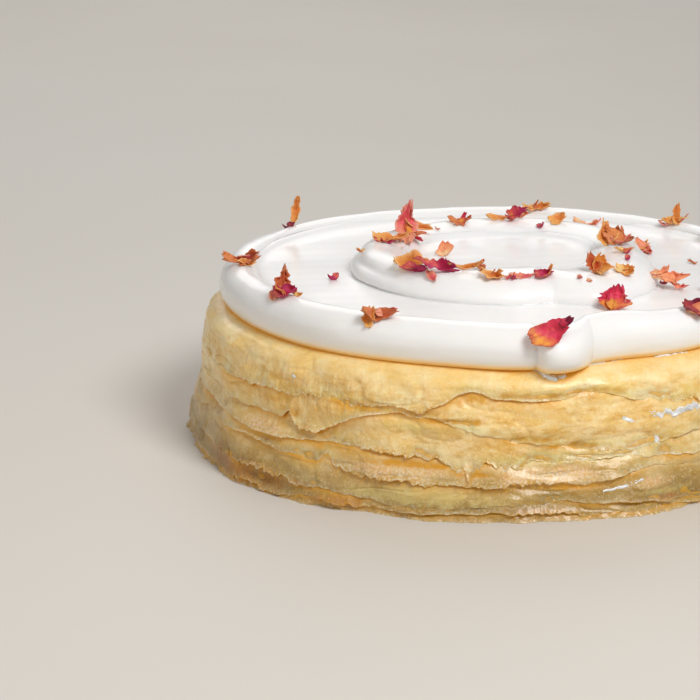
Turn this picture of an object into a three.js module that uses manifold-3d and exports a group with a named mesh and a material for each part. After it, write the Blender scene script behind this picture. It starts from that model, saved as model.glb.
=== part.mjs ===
// A whole crepe cake: seven crepes draped over each other, a poured cream top, two piped cream
// rings and dried rose petals. Millimetres, +Z up. The origin is the middle of the flat underside,
// and the piping joins face -Y. Angles in the tables are degrees about +Z, measured from +X.
import * as THREE from 'three';
import Module from 'manifold-3d';

const wasm = await Module();
wasm.setup();

// ---- Driving dimensions -------------------------------------------------------------------

const GAP = 0.35; // free space between pieces that lie against each other

// The stack of crepes.
const CAKE_TOP = 42;
const SKIRT = 1.4; // how far a crepe's hem stands proud of the crepe beneath it
const SHOULDER = { flat: 85.5, bend: 89.3, side: 91.7, drop: 0.7, fall: 2.1 };
const CREPE_SEGMENTS = 72;
const LOWEST_HEM = 1.0;
const HEM_STEP = 1.6; // a hem hangs at least this far below the hem above it
const TOP_CORNER = 1; // how far a covered crepe's upper edge is rounded in

// Radius of the side at a few heights: widest at the foot, pulled in at the middle and the top.
const SIDE_HEIGHTS = [0, 5, 10, 14, 18, 22, 27, 32, 36.5, 39.5, 42];
const SIDE_RADII = [99.6, 99, 98, 97, 95.3, 94.3, 94.7, 94.2, 93.2, 91.8, 87];

// Upright folds of the side: how many round the cake, how deep, and how far each leans. They are
// strongest at the foot.
const FOLD_STRENGTH = { foot: 1.4, top: 0.4 };
const FOLDS = [
  { count: 2, depth: 0.7, turn: 20, lean: 0 },
  { count: 3, depth: 0.5, turn: 100, lean: 20 },
  { count: 5, depth: 0.45, turn: 65, lean: -30 },
  { count: 9, depth: 0.4, turn: 15, lean: 45 },
  { count: 13, depth: 0.35, turn: 200, lean: -60 },
  { count: 19, depth: 0.3, turn: 310, lean: 80 },
];

// Each crepe from the top down: the height it lies at, the mean height of its hem, the slow wave
// of that hem (waves round the cake, height, azimuth of a crest) and its single dips and rises
// (azimuth, half width in degrees, height).
const CREPES = [
  { level: 42, hem: 32, wave: [3, 2.5, -83], bends: [[-103.3, 4.5, -2.9], [-59, 7, -1]] },
  { level: 38.4, hem: 21.8, wave: [2, 1.0, -161], bends: [[-105.7, 13, 8.4], [-126, 4, -2.4], [-67, 8, -3]] },
  { level: 33.8, hem: 16.9, wave: [2, 1.2, -131], bends: [[-136, 5, -1.6], [-93, 5, -2.2]] },
  { level: 27.4, hem: 12.7, wave: [2, 2.2, -166], bends: [[-107, 9, -0.8], [-62, 6, 2.3]] },
  { level: 20.8, hem: 5.2, wave: [2, 1.4, -151], bends: [[-107, 13, -1.7], [-81, 7, 2], [-50, 9, -2]] },
  { level: 13.8, hem: 2.2, wave: [3, 0.7, 159], bends: [[-123, 4, 1.2], [-75, 8, -0.6]] },
  { level: 7.6, hem: 0, wave: [1, 0, 0], bends: [] },
];
const FREE_BENDS = { count: 5, at: [-40, 190], width: [4, 11], height: [-2, 1.8], seed: 11 };

// The poured cream: a wide pool inside the outer ring and a higher one inside the inner ring.
const POOL_TOP = 50.9;
const HEART_TOP = 55.2;

// A piped rope's outline is an oval; it stands flat where it is this far round below its middle.
const ROPE_FOOT = THREE.MathUtils.degToRad(75);

// The outer ring: its rope of cream, and the fat end that laps over its start. Near the end the
// rope leans out over the shoulder, and its start on the other side is drawn in and higher.
const OUTER = { radius: 81.6, half: 6.3, middle: 48, rise: 6.7, steps: 60, sides: 12 };
const OUTER_END = { seam: -82.6, tail: -72.4, out: 4.6, swell: 2.4, groove: 0.9 };
const OUTER_LEAN = { at: -84, width: 13, out: 1.6, swell: 1.7 };
const OUTER_START = { at: -66, width: 9, drawnIn: 3, rise: 1.4 };
const OUTER_SWAY = [[2, 0.5, 40], [3, 0.4, 150], [7, 0.25, 80]];

// The inner ring: an oval rope with a wide foot in front, steeper outside than inside. Its end
// spreads into a soft dollop at the front right.
const INNER = { radius: 38.1, outside: 7.2, inside: 12.5, middle: 52, rise: 7.5, steps: 48, sides: 10 };
const INNER_OVAL = [[1, 1.4, 82], [2, 2.3, 33]];
const INNER_FOOT = { at: -84, width: 38, swell: 6.6 };
const DOLLOP = { seam: -69.5, at: -36, tail: 10, out: 8.4, swell: 2.4, inward: 6.5, sunk: 0.6, groove: 0.8 };

// Petals: 0.5 mm leaves with a few waves in them.
const LEAF = { thick: 0.5, along: 4, across: 3 };
const FLECK = { thick: 0.8, along: 2, across: 2, sunk: 0.8, length: [2.6, 4.6], width: [2, 3.2], tilt: 12 };

// ---- Small helpers ------------------------------------------------------------------------

const rad = THREE.MathUtils.degToRad;
const TURN = 360;

// A repeatable stream of numbers from 0 to 1.
function seeded(seed) {
  let state = seed;
  return () => {
    state = (state * 16807) % 2147483647;
    return state / 2147483647;
  };
}

function pick([low, high], random) {
  return low + (high - low) * random();
}

// The difference of two azimuths, from -180 to 180.
function between(azimuth, centre) {
  return THREE.MathUtils.euclideanModulo(azimuth - centre + TURN / 2, TURN) - TURN / 2;
}

// A smooth hill of height 1 round an azimuth.
function hill(azimuth, centre, halfWidth) {
  return Math.exp(-((between(azimuth, centre) / halfWidth) ** 2));
}

// The sum of slow waves round the cake, each given as [count, depth, turn].
function sway(azimuth, waves) {
  return waves.reduce((sum, [count, depth, turn]) => sum + depth * Math.cos(rad(count * (azimuth - turn))), 0);
}

function polar(radius, azimuth, z) {
  return new THREE.Vector3(radius * Math.cos(rad(azimuth)), radius * Math.sin(rad(azimuth)), z);
}

// Evenly spread azimuths, with a few extra ones where the shape changes quickly.
function azimuths(steps, extra = []) {
  const even = Array.from({ length: steps }, (_, i) => (i * TURN) / steps - TURN / 2);
  const clear = even.filter((a) => extra.every((e) => Math.abs(between(a, e)) > 0.7));
  return [...clear, ...extra].sort((a, b) => a - b);
}

function geometryOf(points, index) {
  const geometry = new THREE.BufferGeometry();
  geometry.setAttribute('position', new THREE.Float32BufferAttribute(points.flatMap((p) => p.toArray()), 3));
  geometry.setIndex(index);
  return geometry;
}

// Two triangles between neighbouring rows; `inside` turns the diagonal, so that two skins which
// run along each other in opposite order are split alike.
function quad(index, a, b, c, d, inside = false) {
  if (inside) index.push(a, c, b, b, c, d);
  else index.push(a, c, d, a, d, b);
}

// A body of round rows from one point on the axis to another. Rows from `inner` on are the
// underside.
function turned(top, rows, bottom, inner = rows.length) {
  const count = rows[0].length;
  const points = [top, ...rows.flat(), bottom];
  const at = (row, j) => 1 + row * count + (j % count);
  const index = [];
  for (let j = 0; j < count; j += 1) {
    index.push(0, at(0, j), at(0, j + 1));
    for (let row = 0; row + 1 < rows.length; row += 1) {
      quad(index, at(row, j), at(row, j + 1), at(row + 1, j), at(row + 1, j + 1), row >= inner);
    }
    index.push(points.length - 1, at(rows.length - 1, j + 1), at(rows.length - 1, j));
  }
  return geometryOf(points, index);
}

// A closed rope: sections[i] is a closed outline, and the last one joins the first.
function rope(sections) {
  const count = sections[0].length;
  const index = [];
  for (let i = 0; i < sections.length; i += 1) {
    const next = (i + 1) % sections.length;
    for (let j = 0; j < count; j += 1) {
      const k = (j + 1) % count;
      quad(index, i * count + j, i * count + k, next * count + j, next * count + k);
    }
  }
  return geometryOf(sections.flat(), index);
}

// ---- Crepes -------------------------------------------------------------------------------

const sideRadius = new THREE.CubicInterpolant(SIDE_HEIGHTS, SIDE_RADII, 1);

// The outer skin of the stack at a height, with its upright folds, which die out to the top.
function side(azimuth, z) {
  const strength = THREE.MathUtils.lerp(FOLD_STRENGTH.foot, FOLD_STRENGTH.top, z / CAKE_TOP);
  const fold = FOLDS.reduce((sum, f) => {
    const phase = f.count * (azimuth - f.turn) + (f.lean * z) / 10;
    return sum + f.depth * Math.sin(rad(phase));
  }, 0);
  return sideRadius.evaluate(z)[0] + strength * fold;
}

// The hems that the table leaves open, on the right and the back, get bends of their own.
const draw = seeded(FREE_BENDS.seed);
CREPES.slice(0, -1).forEach((crepe) => {
  for (let i = 0; i < FREE_BENDS.count; i += 1) {
    crepe.bends.push(['at', 'width', 'height'].map((key) => pick(FREE_BENDS[key], draw)));
  }
});

// Height of a crepe's hem. A hem stays below the one above it and below the next crepe's level.
function hem(number, azimuth) {
  if (number < 0) return CAKE_TOP;
  const crepe = CREPES[number];
  const below = CREPES[number + 1];
  if (!below) return 0;
  const free = crepe.hem + sway(azimuth, [crepe.wave])
    + crepe.bends.reduce((sum, [at, width, height]) => sum + height * hill(azimuth, at, width), 0);
  const ceiling = Math.min(hem(number - 1, azimuth) - HEM_STEP, below.level - 2 * TOP_CORNER);
  return Math.max(Math.min(free, ceiling), LOWEST_HEM);
}

// Radius of a crepe's outer skin at a height: tucked in where the crepe above hangs over it, and
// coming out to the side at its own hem.
function skin(number, azimuth, z) {
  if (number === 0) return side(azimuth, z);
  const above = hem(number - 1, azimuth);
  if (z > above) return skin(number - 1, azimuth, z) - SKIRT - GAP;
  const own = hem(number, azimuth);
  const share = above > own ? THREE.MathUtils.clamp((z - own) / (above - own), 0, 1) : 0;
  return side(azimuth, z) - SKIRT * share;
}

// The rows of a crepe's outer skin, from its flat to its hem.
function crepeRows(number, angles) {
  const { level } = CREPES[number];
  const row = (radius, z) => angles.map((a) => polar(radius(a), a, z(a)));
  const above = (a) => hem(number - 1, a);
  const own = (a) => hem(number, a);
  const middle = (a) => (number === 0 ? (level - SHOULDER.fall + own(a)) / 2 : (above(a) + own(a)) / 2);
  const bands = [
    row((a) => skin(number, a, middle(a)) + SKIRT / 3, middle),
    row((a) => skin(number, a, own(a)), own),
  ];
  if (number === 0) {
    return [
      row(() => SHOULDER.flat, () => level),
      row((a) => SHOULDER.bend + side(a, level) - sideRadius.evaluate(level)[0], () => level - SHOULDER.drop),
      row((a) => SHOULDER.side + side(a, level) - sideRadius.evaluate(level)[0], () => level - SHOULDER.fall),
      ...bands,
    ];
  }
  const corner = row((a) => skin(number - 1, a, level) - SKIRT - GAP - TOP_CORNER, () => level);
  const tucked = row((a) => skin(number, a, above(a)), above);
  return [corner, tucked, ...bands];
}

// The underside of a crepe: the next crepe's skin, down to this hem, moved out by the gap.
function undersideRows(number, angles) {
  const [corner, tucked] = crepeRows(number + 1, angles);
  const moved = (points, lift) => points.map((p) => {
    const out = new THREE.Vector3(p.x, p.y, 0).setLength(GAP);
    return p.clone().add(out).setZ(p.z + lift);
  });
  return [moved(tucked, 0), moved(corner, GAP)];
}

function crepe(number) {
  const angles = azimuths(CREPE_SEGMENTS);
  const { level } = CREPES[number];
  const rows = crepeRows(number, angles);
  if (number + 1 === CREPES.length) {
    return turned(new THREE.Vector3(0, 0, level), rows, new THREE.Vector3(0, 0, 0));
  }
  const under = new THREE.Vector3(0, 0, CREPES[number + 1].level + GAP);
  return turned(new THREE.Vector3(0, 0, level), [...rows, ...undersideRows(number, angles)], under, rows.length);
}

// ---- Cream --------------------------------------------------------------------------------

// The fat end of the outer ring: it starts sharply at the seam and fades along the rope.
function endShare(azimuth, seam, tail) {
  const along = between(azimuth, seam) / between(tail, seam);
  if (along < 0 || along > 1) return 0;
  return THREE.MathUtils.smoothstep(along, 0, 0.1) * (1 - THREE.MathUtils.smoothstep(along, 0.45, 1));
}

// The rope of the outer ring at an azimuth: the radius of its crest, its half widths to the
// outside and the inside of that, its middle height, and its rise and fall from there.
function outerRope(azimuth) {
  const end = endShare(azimuth, OUTER_END.seam, OUTER_END.tail);
  const groove = OUTER_END.groove * hill(azimuth, OUTER_END.seam, 0.8);
  const lean = hill(azimuth, OUTER_LEAN.at, OUTER_LEAN.width);
  const start = hill(azimuth, OUTER_START.at, OUTER_START.width);
  const uneven = sway(azimuth, OUTER_SWAY);
  const out = OUTER_END.out * end + OUTER_LEAN.out * lean - OUTER_START.drawnIn * start;
  return {
    radius: OUTER.radius + uneven + out,
    outside: OUTER.half + OUTER_END.swell * end + OUTER_LEAN.swell * lean - groove,
    inside: OUTER.half + OUTER_END.swell * end - groove,
    middle: OUTER.middle,
    rise: OUTER.rise + uneven / 3 + OUTER_START.rise * start - groove,
    fall: (OUTER.middle - CAKE_TOP - GAP) / Math.sin(ROPE_FOOT),
  };
}

// The rope of the inner ring at an azimuth; the dollop widens it on one side of the seam.
function innerRope(azimuth) {
  const inDollop = THREE.MathUtils.smoothstep(between(azimuth, DOLLOP.seam), 0, 6)
    * (1 - THREE.MathUtils.smoothstep(between(azimuth, DOLLOP.at), 0, DOLLOP.tail - DOLLOP.at));
  const groove = DOLLOP.groove * hill(azimuth, DOLLOP.seam, 1.8);
  const foot = INNER_FOOT.swell * hill(azimuth, INNER_FOOT.at, INNER_FOOT.width);
  return {
    radius: INNER.radius + sway(azimuth, INNER_OVAL) + DOLLOP.out * inDollop,
    outside: INNER.outside + foot + DOLLOP.swell * inDollop - groove,
    inside: INNER.inside + DOLLOP.inward * inDollop - groove,
    middle: INNER.middle,
    rise: INNER.rise - DOLLOP.sunk * inDollop - groove,
    fall: (INNER.middle - POOL_TOP - GAP) / Math.sin(ROPE_FOOT),
  };
}

// One outline of a rope: an oval cut flat where it lies on what carries it.
function outline(shape, azimuth, sides) {
  const points = [];
  for (let i = 0; i < sides; i += 1) {
    const turn = -ROPE_FOOT + ((Math.PI + 2 * ROPE_FOOT) * i) / (sides - 1);
    const half = turn < Math.PI / 2 ? shape.outside : shape.inside;
    const radius = shape.radius + half * Math.cos(turn);
    const reach = turn > 0 && turn < Math.PI ? shape.rise : shape.fall;
    points.push(polar(radius, azimuth, shape.middle + reach * Math.sin(turn)));
  }
  return points;
}

const { seam, tail } = OUTER_END;
const OUTER_AZIMUTHS = azimuths(OUTER.steps, [seam - 2, seam - 0.7, seam, seam + 1.1, seam + 2.4, seam + 5, tail]);
const INNER_AZIMUTHS = azimuths(INNER.steps, [DOLLOP.seam - 3, DOLLOP.seam, DOLLOP.seam + 3, DOLLOP.seam + 6]);

const outerRing = () => rope(OUTER_AZIMUTHS.map((a) => outline(outerRope(a), a, OUTER.sides)));
const innerRing = () => rope(INNER_AZIMUTHS.map((a) => outline(innerRope(a), a, INNER.sides)));

// The rim of a pool poured inside a ring, from its brink down along the inner side of the rope.
function rimRows(shapeAt, angles, sides, top) {
  const columns = angles.map((a) => {
    const inner = outline(shapeAt(a), a, sides).slice(Math.floor(sides / 2));
    const wetted = inner.filter((p) => p.z < top);
    const dry = inner[inner.length - wetted.length - 1];
    const brink = wetted[0].clone().lerp(dry, (top - wetted[0].z) / (dry.z - wetted[0].z));
    return [brink, ...wetted].map((p) => p.clone().sub(new THREE.Vector3(p.x, p.y, 0).setLength(GAP)));
  });
  return columns[0].map((_, row) => columns.map((column) => column[row]));
}

function pool(rows, top) {
  return turned(new THREE.Vector3(0, 0, top), rows, new THREE.Vector3(0, 0, rows.at(-1)[0].z));
}

const creamPool = () => pool(rimRows(outerRope, OUTER_AZIMUTHS, OUTER.sides, POOL_TOP), POOL_TOP);
const creamHeart = () => pool(rimRows(innerRope, INNER_AZIMUTHS, INNER.sides, HEART_TOP), HEART_TOP);

// Height of the cream under a point seen from above.
function creamHeight(x, y) {
  const radius = Math.hypot(x, y);
  const azimuth = THREE.MathUtils.radToDeg(Math.atan2(y, x));
  const over = (shape) => {
    const share = (radius - shape.radius) / (radius > shape.radius ? shape.outside : shape.inside);
    return Math.abs(share) < 1 ? shape.middle + shape.rise * Math.sqrt(1 - share * share) : 0;
  };
  const outer = outerRope(azimuth);
  const inner = innerRope(azimuth);
  const poured = radius < inner.radius ? HEART_TOP : POOL_TOP;
  return Math.max(over(outer), over(inner), radius < outer.radius ? poured : CAKE_TOP);
}

// ---- Petals -------------------------------------------------------------------------------

// A thin wavy leaf along +X: both faces carry the same grid, and a rim joins them.
function leaf({ length, width, curl = 0.3, bend = 0.15, twist = 20 }, size, random) {
  const { thick, along, across } = size;
  const wobble = Array.from({ length: 4 }, () => random() * Math.PI * 2);
  const middle = (u, v) => {
    const half = (width / 2) * (0.22 + 0.78 * Math.sin(Math.PI * (0.06 + 0.88 * u) ** 0.8));
    const ragged = 1 + 0.16 * Math.sin(7 * u + wobble[0]) * v;
    const y = v * half * ragged;
    const lift = curl * width * 0.5 * v * v + bend * length * (2 * u - 1) ** 2;
    const wave = 0.05 * length * Math.sin(5 * u + 2 * v + wobble[1]);
    return new THREE.Vector3((u - 0.5) * length, y, lift + wave)
      .applyAxisAngle(new THREE.Vector3(1, 0, 0), rad(twist) * (u - 0.5));
  };
  const faces = [[], []];
  const step = 0.02;
  for (let i = 0; i <= along; i += 1) {
    for (let j = 0; j <= across; j += 1) {
      const u = i / along;
      const v = (2 * j) / across - 1;
      const here = middle(u, v);
      const du = middle(u + step, v).sub(here);
      const dv = middle(u, v + step).sub(here);
      const out = du.cross(dv).setLength(thick / 2);
      faces[0].push(here.clone().add(out));
      faces[1].push(here.clone().sub(out));
    }
  }
  const row = across + 1;
  const under = faces[0].length;
  const index = [];
  for (let i = 0; i < along; i += 1) {
    for (let j = 0; j < across; j += 1) {
      const a = i * row + j;
      const b = a + row;
      index.push(a, b, b + 1, a, b + 1, a + 1);
      index.push(under + a, under + b + 1, under + b, under + a, under + a + 1, under + b + 1);
    }
  }
  const edge = [];
  for (let i = 0; i < along; i += 1) edge.push(i * row);
  for (let j = 0; j < across; j += 1) edge.push(along * row + j);
  for (let i = along; i > 0; i -= 1) edge.push(i * row + across);
  for (let j = across; j > 0; j -= 1) edge.push(j);
  edge.forEach((a, i) => {
    const b = edge[(i + 1) % edge.length];
    index.push(a, under + a, under + b, a, under + b, b);
  });
  return geometryOf([...faces[0], ...faces[1]], index);
}

// Turn a leaf (roll about its length, pitch to raise its tip, heading about +Z), and move it over
// its spot, `above` the cream at its closest point.
function settle(geometry, { at, heading = 0, pitch = 0, roll = 0, shift = [0, 0, 0] }, above) {
  const turn = new THREE.Euler(rad(roll), rad(-pitch), rad(heading), 'ZYX');
  geometry.applyMatrix4(new THREE.Matrix4().makeRotationFromEuler(turn));
  geometry.translate(at[0] + shift[0], at[1] + shift[1], 0);
  const place = geometry.getAttribute('position');
  let lift = -Infinity;
  for (let i = 0; i < place.count; i += 1) {
    lift = Math.max(lift, creamHeight(place.getX(i), place.getY(i)) - place.getZ(i));
  }
  return geometry.translate(0, 0, lift + above + shift[2]);
}

// Petals as they lie: the spot, then each leaf's size (length, width) and attitude. Leaves of one
// petal head grow together.
const PETALS = [
  { at: [-67.9, 50.4], leaves: [{ length: 9, width: 2.8, heading: 60, pitch: 74, roll: 20 }] },
  { at: [-80.3, -11.9], leaves: [{ length: 10.5, width: 6.5, heading: 8, pitch: 12, roll: 28, curl: 0.5 }] },
  { at: [-65, -50.3], leaves: [{ length: 9, width: 6, heading: 162, pitch: 58, roll: 4, curl: 0.3 }] },
  { at: [-34.5, -77.2], leaves: [
    { length: 11, width: 6.5, heading: 4, pitch: -4, roll: 38, curl: 0.35 },
    { length: 6.5, width: 4.5, heading: 104, pitch: 52, roll: 0, shift: [-3, 0.6, 0] },
  ] },
  { at: [-34.4, 3.6], leaves: [{ length: 10.5, width: 4, heading: 12, pitch: 8, roll: 26, curl: 0.5 }] },
  { at: [-30.2, 13.8], leaves: [
    { length: 13, width: 5.2, heading: 160, pitch: 66, roll: 8 },
    { length: 9, width: 3.6, heading: 28, pitch: -22, roll: 30, shift: [3.4, 2.6, 1.6] },
    { length: 8, width: 3, heading: -34, pitch: -28, roll: -12, shift: [2.2, -2.4, 0.6] },
  ] },
  { at: [-26.5, -31.9], leaves: [
    { length: 11, width: 7.5, heading: -20, pitch: 6, roll: 32, curl: 0.4 },
    { length: 13, width: 5.4, heading: -6, pitch: -4, roll: 36, shift: [7.5, -5.2, 0] },
    { length: 10, width: 1.8, heading: 4, pitch: 3, roll: 20, shift: [16.4, -5.6, 0.3] },
  ] },
  { at: [-17.1, 1.6], leaves: [{ length: 5.2, width: 6, heading: 92, pitch: 46, roll: 0, curl: 0.2 }] },
  { at: [-12.6, 31.5], leaves: [{ length: 6.8, width: 4.6, heading: 16, pitch: 14, roll: 30 }] },
  { at: [2.5, 35.7], leaves: [
    { length: 8, width: 3.2, heading: 10, pitch: 6, roll: 22, shift: [-2.4, 0, 0.3] },
    { length: 7, width: 5, heading: -8, pitch: 8, roll: 34, shift: [3.6, 0, 0] },
  ] },
  { at: [13, 78.2], leaves: [{ length: 8.4, width: 4.2, heading: -6, pitch: 10, roll: 30 }] },
  { at: [19.3, 34.1], leaves: [{ length: 5.4, width: 5, heading: 20, pitch: 20, roll: 20 }] },
  { at: [29.7, 67.3], leaves: [{ length: 8.2, width: 3.8, heading: -22, pitch: 6, roll: 24 }] },
  { at: [36.4, 3.8], leaves: [
    { length: 8, width: 6, heading: 148, pitch: 50, roll: 0, shift: [-2.6, 0.8, 0] },
    { length: 9.5, width: 5.6, heading: -32, pitch: 6, roll: 34, shift: [2.4, -1.2, 0.3] },
  ] },
  { at: [46.9, 27.7], leaves: [{ length: 7, width: 5, heading: -50, pitch: -16, roll: 20, curl: 0.4 }] },
  { at: [30.4, -32.6], leaves: [{ length: 7.6, width: 6.8, heading: 100, pitch: 44, roll: 14, curl: 0.6 }] },
  { at: [39.2, -8.3], leaves: [{ length: 5.4, width: 3.6, heading: 10, pitch: 8, roll: 16 }] },
  { at: [38.5, -31.1], leaves: [{ length: 6, width: 4.2, heading: -30, pitch: 4, roll: 24 }] },
  { at: [34.7, -48.4], leaves: [{ length: 9.2, width: 9.4, heading: 86, pitch: 62, roll: 6, curl: 0.2 }] },
  { at: [14.5, -91.7], leaves: [{ length: 11.5, width: 8.2, heading: 14, pitch: 2, roll: 40, curl: 0.1 }] },
  { at: [52.5, -23.1], leaves: [{ length: 10.4, width: 6.6, heading: 4, pitch: 6, roll: 24, curl: 0.4 }] },
  { at: [58.6, 55.7], leaves: [
    { length: 9, width: 3.4, heading: -14, pitch: 6, roll: 26 },
    { length: 6.5, width: 2.6, heading: 118, pitch: 58, roll: 0, shift: [0.6, 0.8, 0] },
  ] },
  { at: [57.7, -60.1], leaves: [{ length: 10, width: 7, heading: 40, pitch: 4, roll: 48, curl: 0.1 }] },
  { at: [-1.6, -42.4], leaves: [{ length: 6.6, width: 4.4, heading: -12, pitch: 4, roll: 38, curl: 0.4 }] },
  { at: [7, -41.6], leaves: [{ length: 7.2, width: 2.4, heading: 10, pitch: 6, roll: 34 }] },
  { at: [13.4, -39.3], leaves: [{ length: 6, width: 3.6, heading: 26, pitch: 16, roll: 34, curl: 0.5 }] },
];

// More petals of the same kinds on the right.
const FREE_PETALS = { onOuter: [29, 11, -9, -27], onPool: [-20], fromRing: 5, reach: 1.6, seed: 23 };
const FREE_LEAF = {
  length: [7, 11],
  width: [4, 7],
  heading: [0, 360],
  pitch: [2, 14],
  roll: [-24, 24],
  curl: [0.25, 0.5],
};

// Small flecks that stay stuck to the cream they lie on.
const POOL_FLECKS = [[-51.5, -16.3], [62, 13]];
const INNER_FLECKS = [[-43.4, -7], [13.8, 30.8], [24.5, -40.6], [39.9, -18.7], [-5, -35.5]];
const OUTER_FLECKS = [[-69.4, 45], [81.4, -6.8]];

function toSolid(geometry) {
  return new wasm.Manifold(new wasm.Mesh({
    numProp: 3,
    vertProperties: new Float32Array(geometry.getAttribute('position').array),
    triVerts: new Uint32Array(geometry.getIndex().array),
  }));
}

function toGeometry(solid) {
  const mesh = solid.getMesh();
  const geometry = new THREE.BufferGeometry();
  geometry.setAttribute('position', new THREE.Float32BufferAttribute(mesh.vertProperties, 3));
  geometry.setIndex(Array.from(mesh.triVerts));
  return geometry;
}

// One petal head: its leaves joined into one body.
function petal({ at, leaves }, random) {
  const solids = leaves.map((shape) => settle(leaf(shape, LEAF, random), { at, ...shape }, GAP));
  if (solids.length === 1) return solids[0];
  return toGeometry(solids.map(toSolid).reduce((whole, next) => whole.add(next)));
}

function freePetals(random) {
  const make = (radius) => (azimuth) => {
    const spot = polar(radius + pick([-FREE_PETALS.reach, FREE_PETALS.reach], random), azimuth, 0);
    const shape = Object.entries(FREE_LEAF).map(([key, range]) => [key, pick(range, random)]);
    return { at: [spot.x, spot.y], leaves: [Object.fromEntries(shape)] };
  };
  return [
    ...FREE_PETALS.onOuter.map(make(OUTER.radius)),
    ...FREE_PETALS.onPool.map(make(OUTER.radius - OUTER.half - FREE_PETALS.fromRing)),
  ];
}

// Flecks joined to the body of cream under them.
function withFlecks(body, spots, random) {
  return toGeometry(spots.reduce((whole, at) => {
    const shape = { length: pick(FLECK.length, random), width: pick(FLECK.width, random), curl: 0.1, bend: 0.05 };
    const tilt = () => FLECK.tilt * random();
    const lying = { at, heading: TURN * random(), pitch: tilt(), roll: tilt() };
    return whole.add(toSolid(settle(leaf(shape, FLECK, random), lying, -FLECK.sunk)));
  }, toSolid(body)));
}

// ---- The cake -----------------------------------------------------------------------------

const FINISH = {
  crepe: { color: 0xe8c48a, roughness: 0.55, metalness: 0 },
  cream: { color: 0xf6f2ee, roughness: 0.35, metalness: 0 },
  petal: { color: 0xb9602f, roughness: 0.8, metalness: 0 },
};

const cake = new THREE.Group();

function add(name, geometry, finish) {
  const mesh = new THREE.Mesh(geometry, new THREE.MeshStandardMaterial(finish));
  mesh.name = name;
  cake.add(mesh);
}

CREPES.forEach((_, number) => add(`crepe_${number + 1}`, crepe(number), FINISH.crepe));

const flecks = seeded(5);
add('cream_pool', withFlecks(creamPool(), POOL_FLECKS, flecks), FINISH.cream);
add('cream_heart', creamHeart(), FINISH.cream);
add('cream_ring_outer', withFlecks(outerRing(), OUTER_FLECKS, flecks), FINISH.cream);
add('cream_ring_inner', withFlecks(innerRing(), INNER_FLECKS, flecks), FINISH.cream);

const leaves = seeded(FREE_PETALS.seed);
const heads = [...PETALS, ...freePetals(leaves)];
heads.forEach((head, i) => add(`petal_${i + 1}`, petal(head, leaves), FINISH.petal));

export default cake;
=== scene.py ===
"""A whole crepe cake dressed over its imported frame.

Seven draped crepes with ragged hems, a poured cream top, two piped cream rings and dried rose
petals. Lengths are millimetres, angles are degrees about +Z from +X, and meshes are written in
metres.
"""

import logging
import math
from dataclasses import dataclass
from enum import Enum
from itertools import product
from typing import Any, Iterator, Sequence

import bpy
import numpy as np
from mathutils import Euler, Matrix, Vector
from mathutils.bvhtree import BVHTree


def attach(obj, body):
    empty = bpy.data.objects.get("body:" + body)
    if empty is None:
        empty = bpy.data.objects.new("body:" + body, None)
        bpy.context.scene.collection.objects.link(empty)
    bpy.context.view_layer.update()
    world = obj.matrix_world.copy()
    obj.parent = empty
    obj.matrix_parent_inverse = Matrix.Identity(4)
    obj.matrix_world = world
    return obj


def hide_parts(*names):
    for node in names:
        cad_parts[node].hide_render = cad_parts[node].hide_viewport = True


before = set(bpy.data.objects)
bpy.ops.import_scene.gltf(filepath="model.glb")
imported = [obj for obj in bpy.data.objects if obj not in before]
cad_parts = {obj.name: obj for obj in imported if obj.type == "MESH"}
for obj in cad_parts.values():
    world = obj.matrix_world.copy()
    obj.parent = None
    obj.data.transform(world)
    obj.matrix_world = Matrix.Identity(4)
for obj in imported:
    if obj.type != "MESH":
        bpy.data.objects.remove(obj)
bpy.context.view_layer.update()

LOG = logging.getLogger("crepe_cake")
MM = 0.001
TURN = 360.0
BODY = "root"

Piece = bpy.types.Object
Finish = bpy.types.Material
Range = tuple[float, float]
Row = tuple[Any, Any]
Waves = Sequence[Sequence[float]]
Marks = tuple[tuple[float, float, float], ...]


# ---- Numbers -------------------------------------------------------------------------------

STREAM_FACTOR = 16807
STREAM_LIMIT = 2147483647
HASH_AXES = (374761393, 668265263, 1440662683)
HASH_FACTOR = 1274126177
HASH_BITS = 0xFFFFFFFF
HASH_PART = 0xFFFF
RIPPLE_LENGTHS = (0.7, 1.6)
RIPPLE_SEEDS = (97, 13)


def seeded(seed: int) -> Iterator[float]:
    """A repeatable stream of numbers from 0 to 1.

    Args:
        seed: the whole number that starts the stream.

    Yields:
        The next number of the stream.
    """
    state = seed
    while True:
        state = (state * STREAM_FACTOR) % STREAM_LIMIT
        yield state / STREAM_LIMIT


def pick(low_high: Sequence[float], draw: Iterator[float]) -> float:
    """A number drawn between the two ends of a range."""
    return low_high[0] + (low_high[1] - low_high[0]) * next(draw)


def mix(low: Any, high: Any, share: Any) -> Any:
    """The value a share of the way from low to high."""
    return low + (high - low) * share


def between(azimuth: Any, centre: Any) -> Any:
    """The difference of two azimuths, from -180 to 180."""
    return np.mod(azimuth - centre + TURN / 2, TURN) - TURN / 2


def hill(azimuth: Any, centre: float, half_width: float) -> Any:
    """A smooth hill of height 1 round an azimuth."""
    return np.exp(-((between(azimuth, centre) / half_width) ** 2))


def smoothstep(value: Any, low: float, high: float) -> Any:
    """0 below low, 1 above high, and a smooth rise between them."""
    share = np.clip((value - low) / (high - low), 0, 1)
    return share * share * (3 - 2 * share)


def sway(azimuth: Any, waves: Waves) -> Any:
    """The sum of slow waves round the cake, each given as (count, depth, turn)."""
    return sum(depth * np.cos(np.radians(count * (azimuth - turn))) for count, depth, turn in waves)


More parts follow.
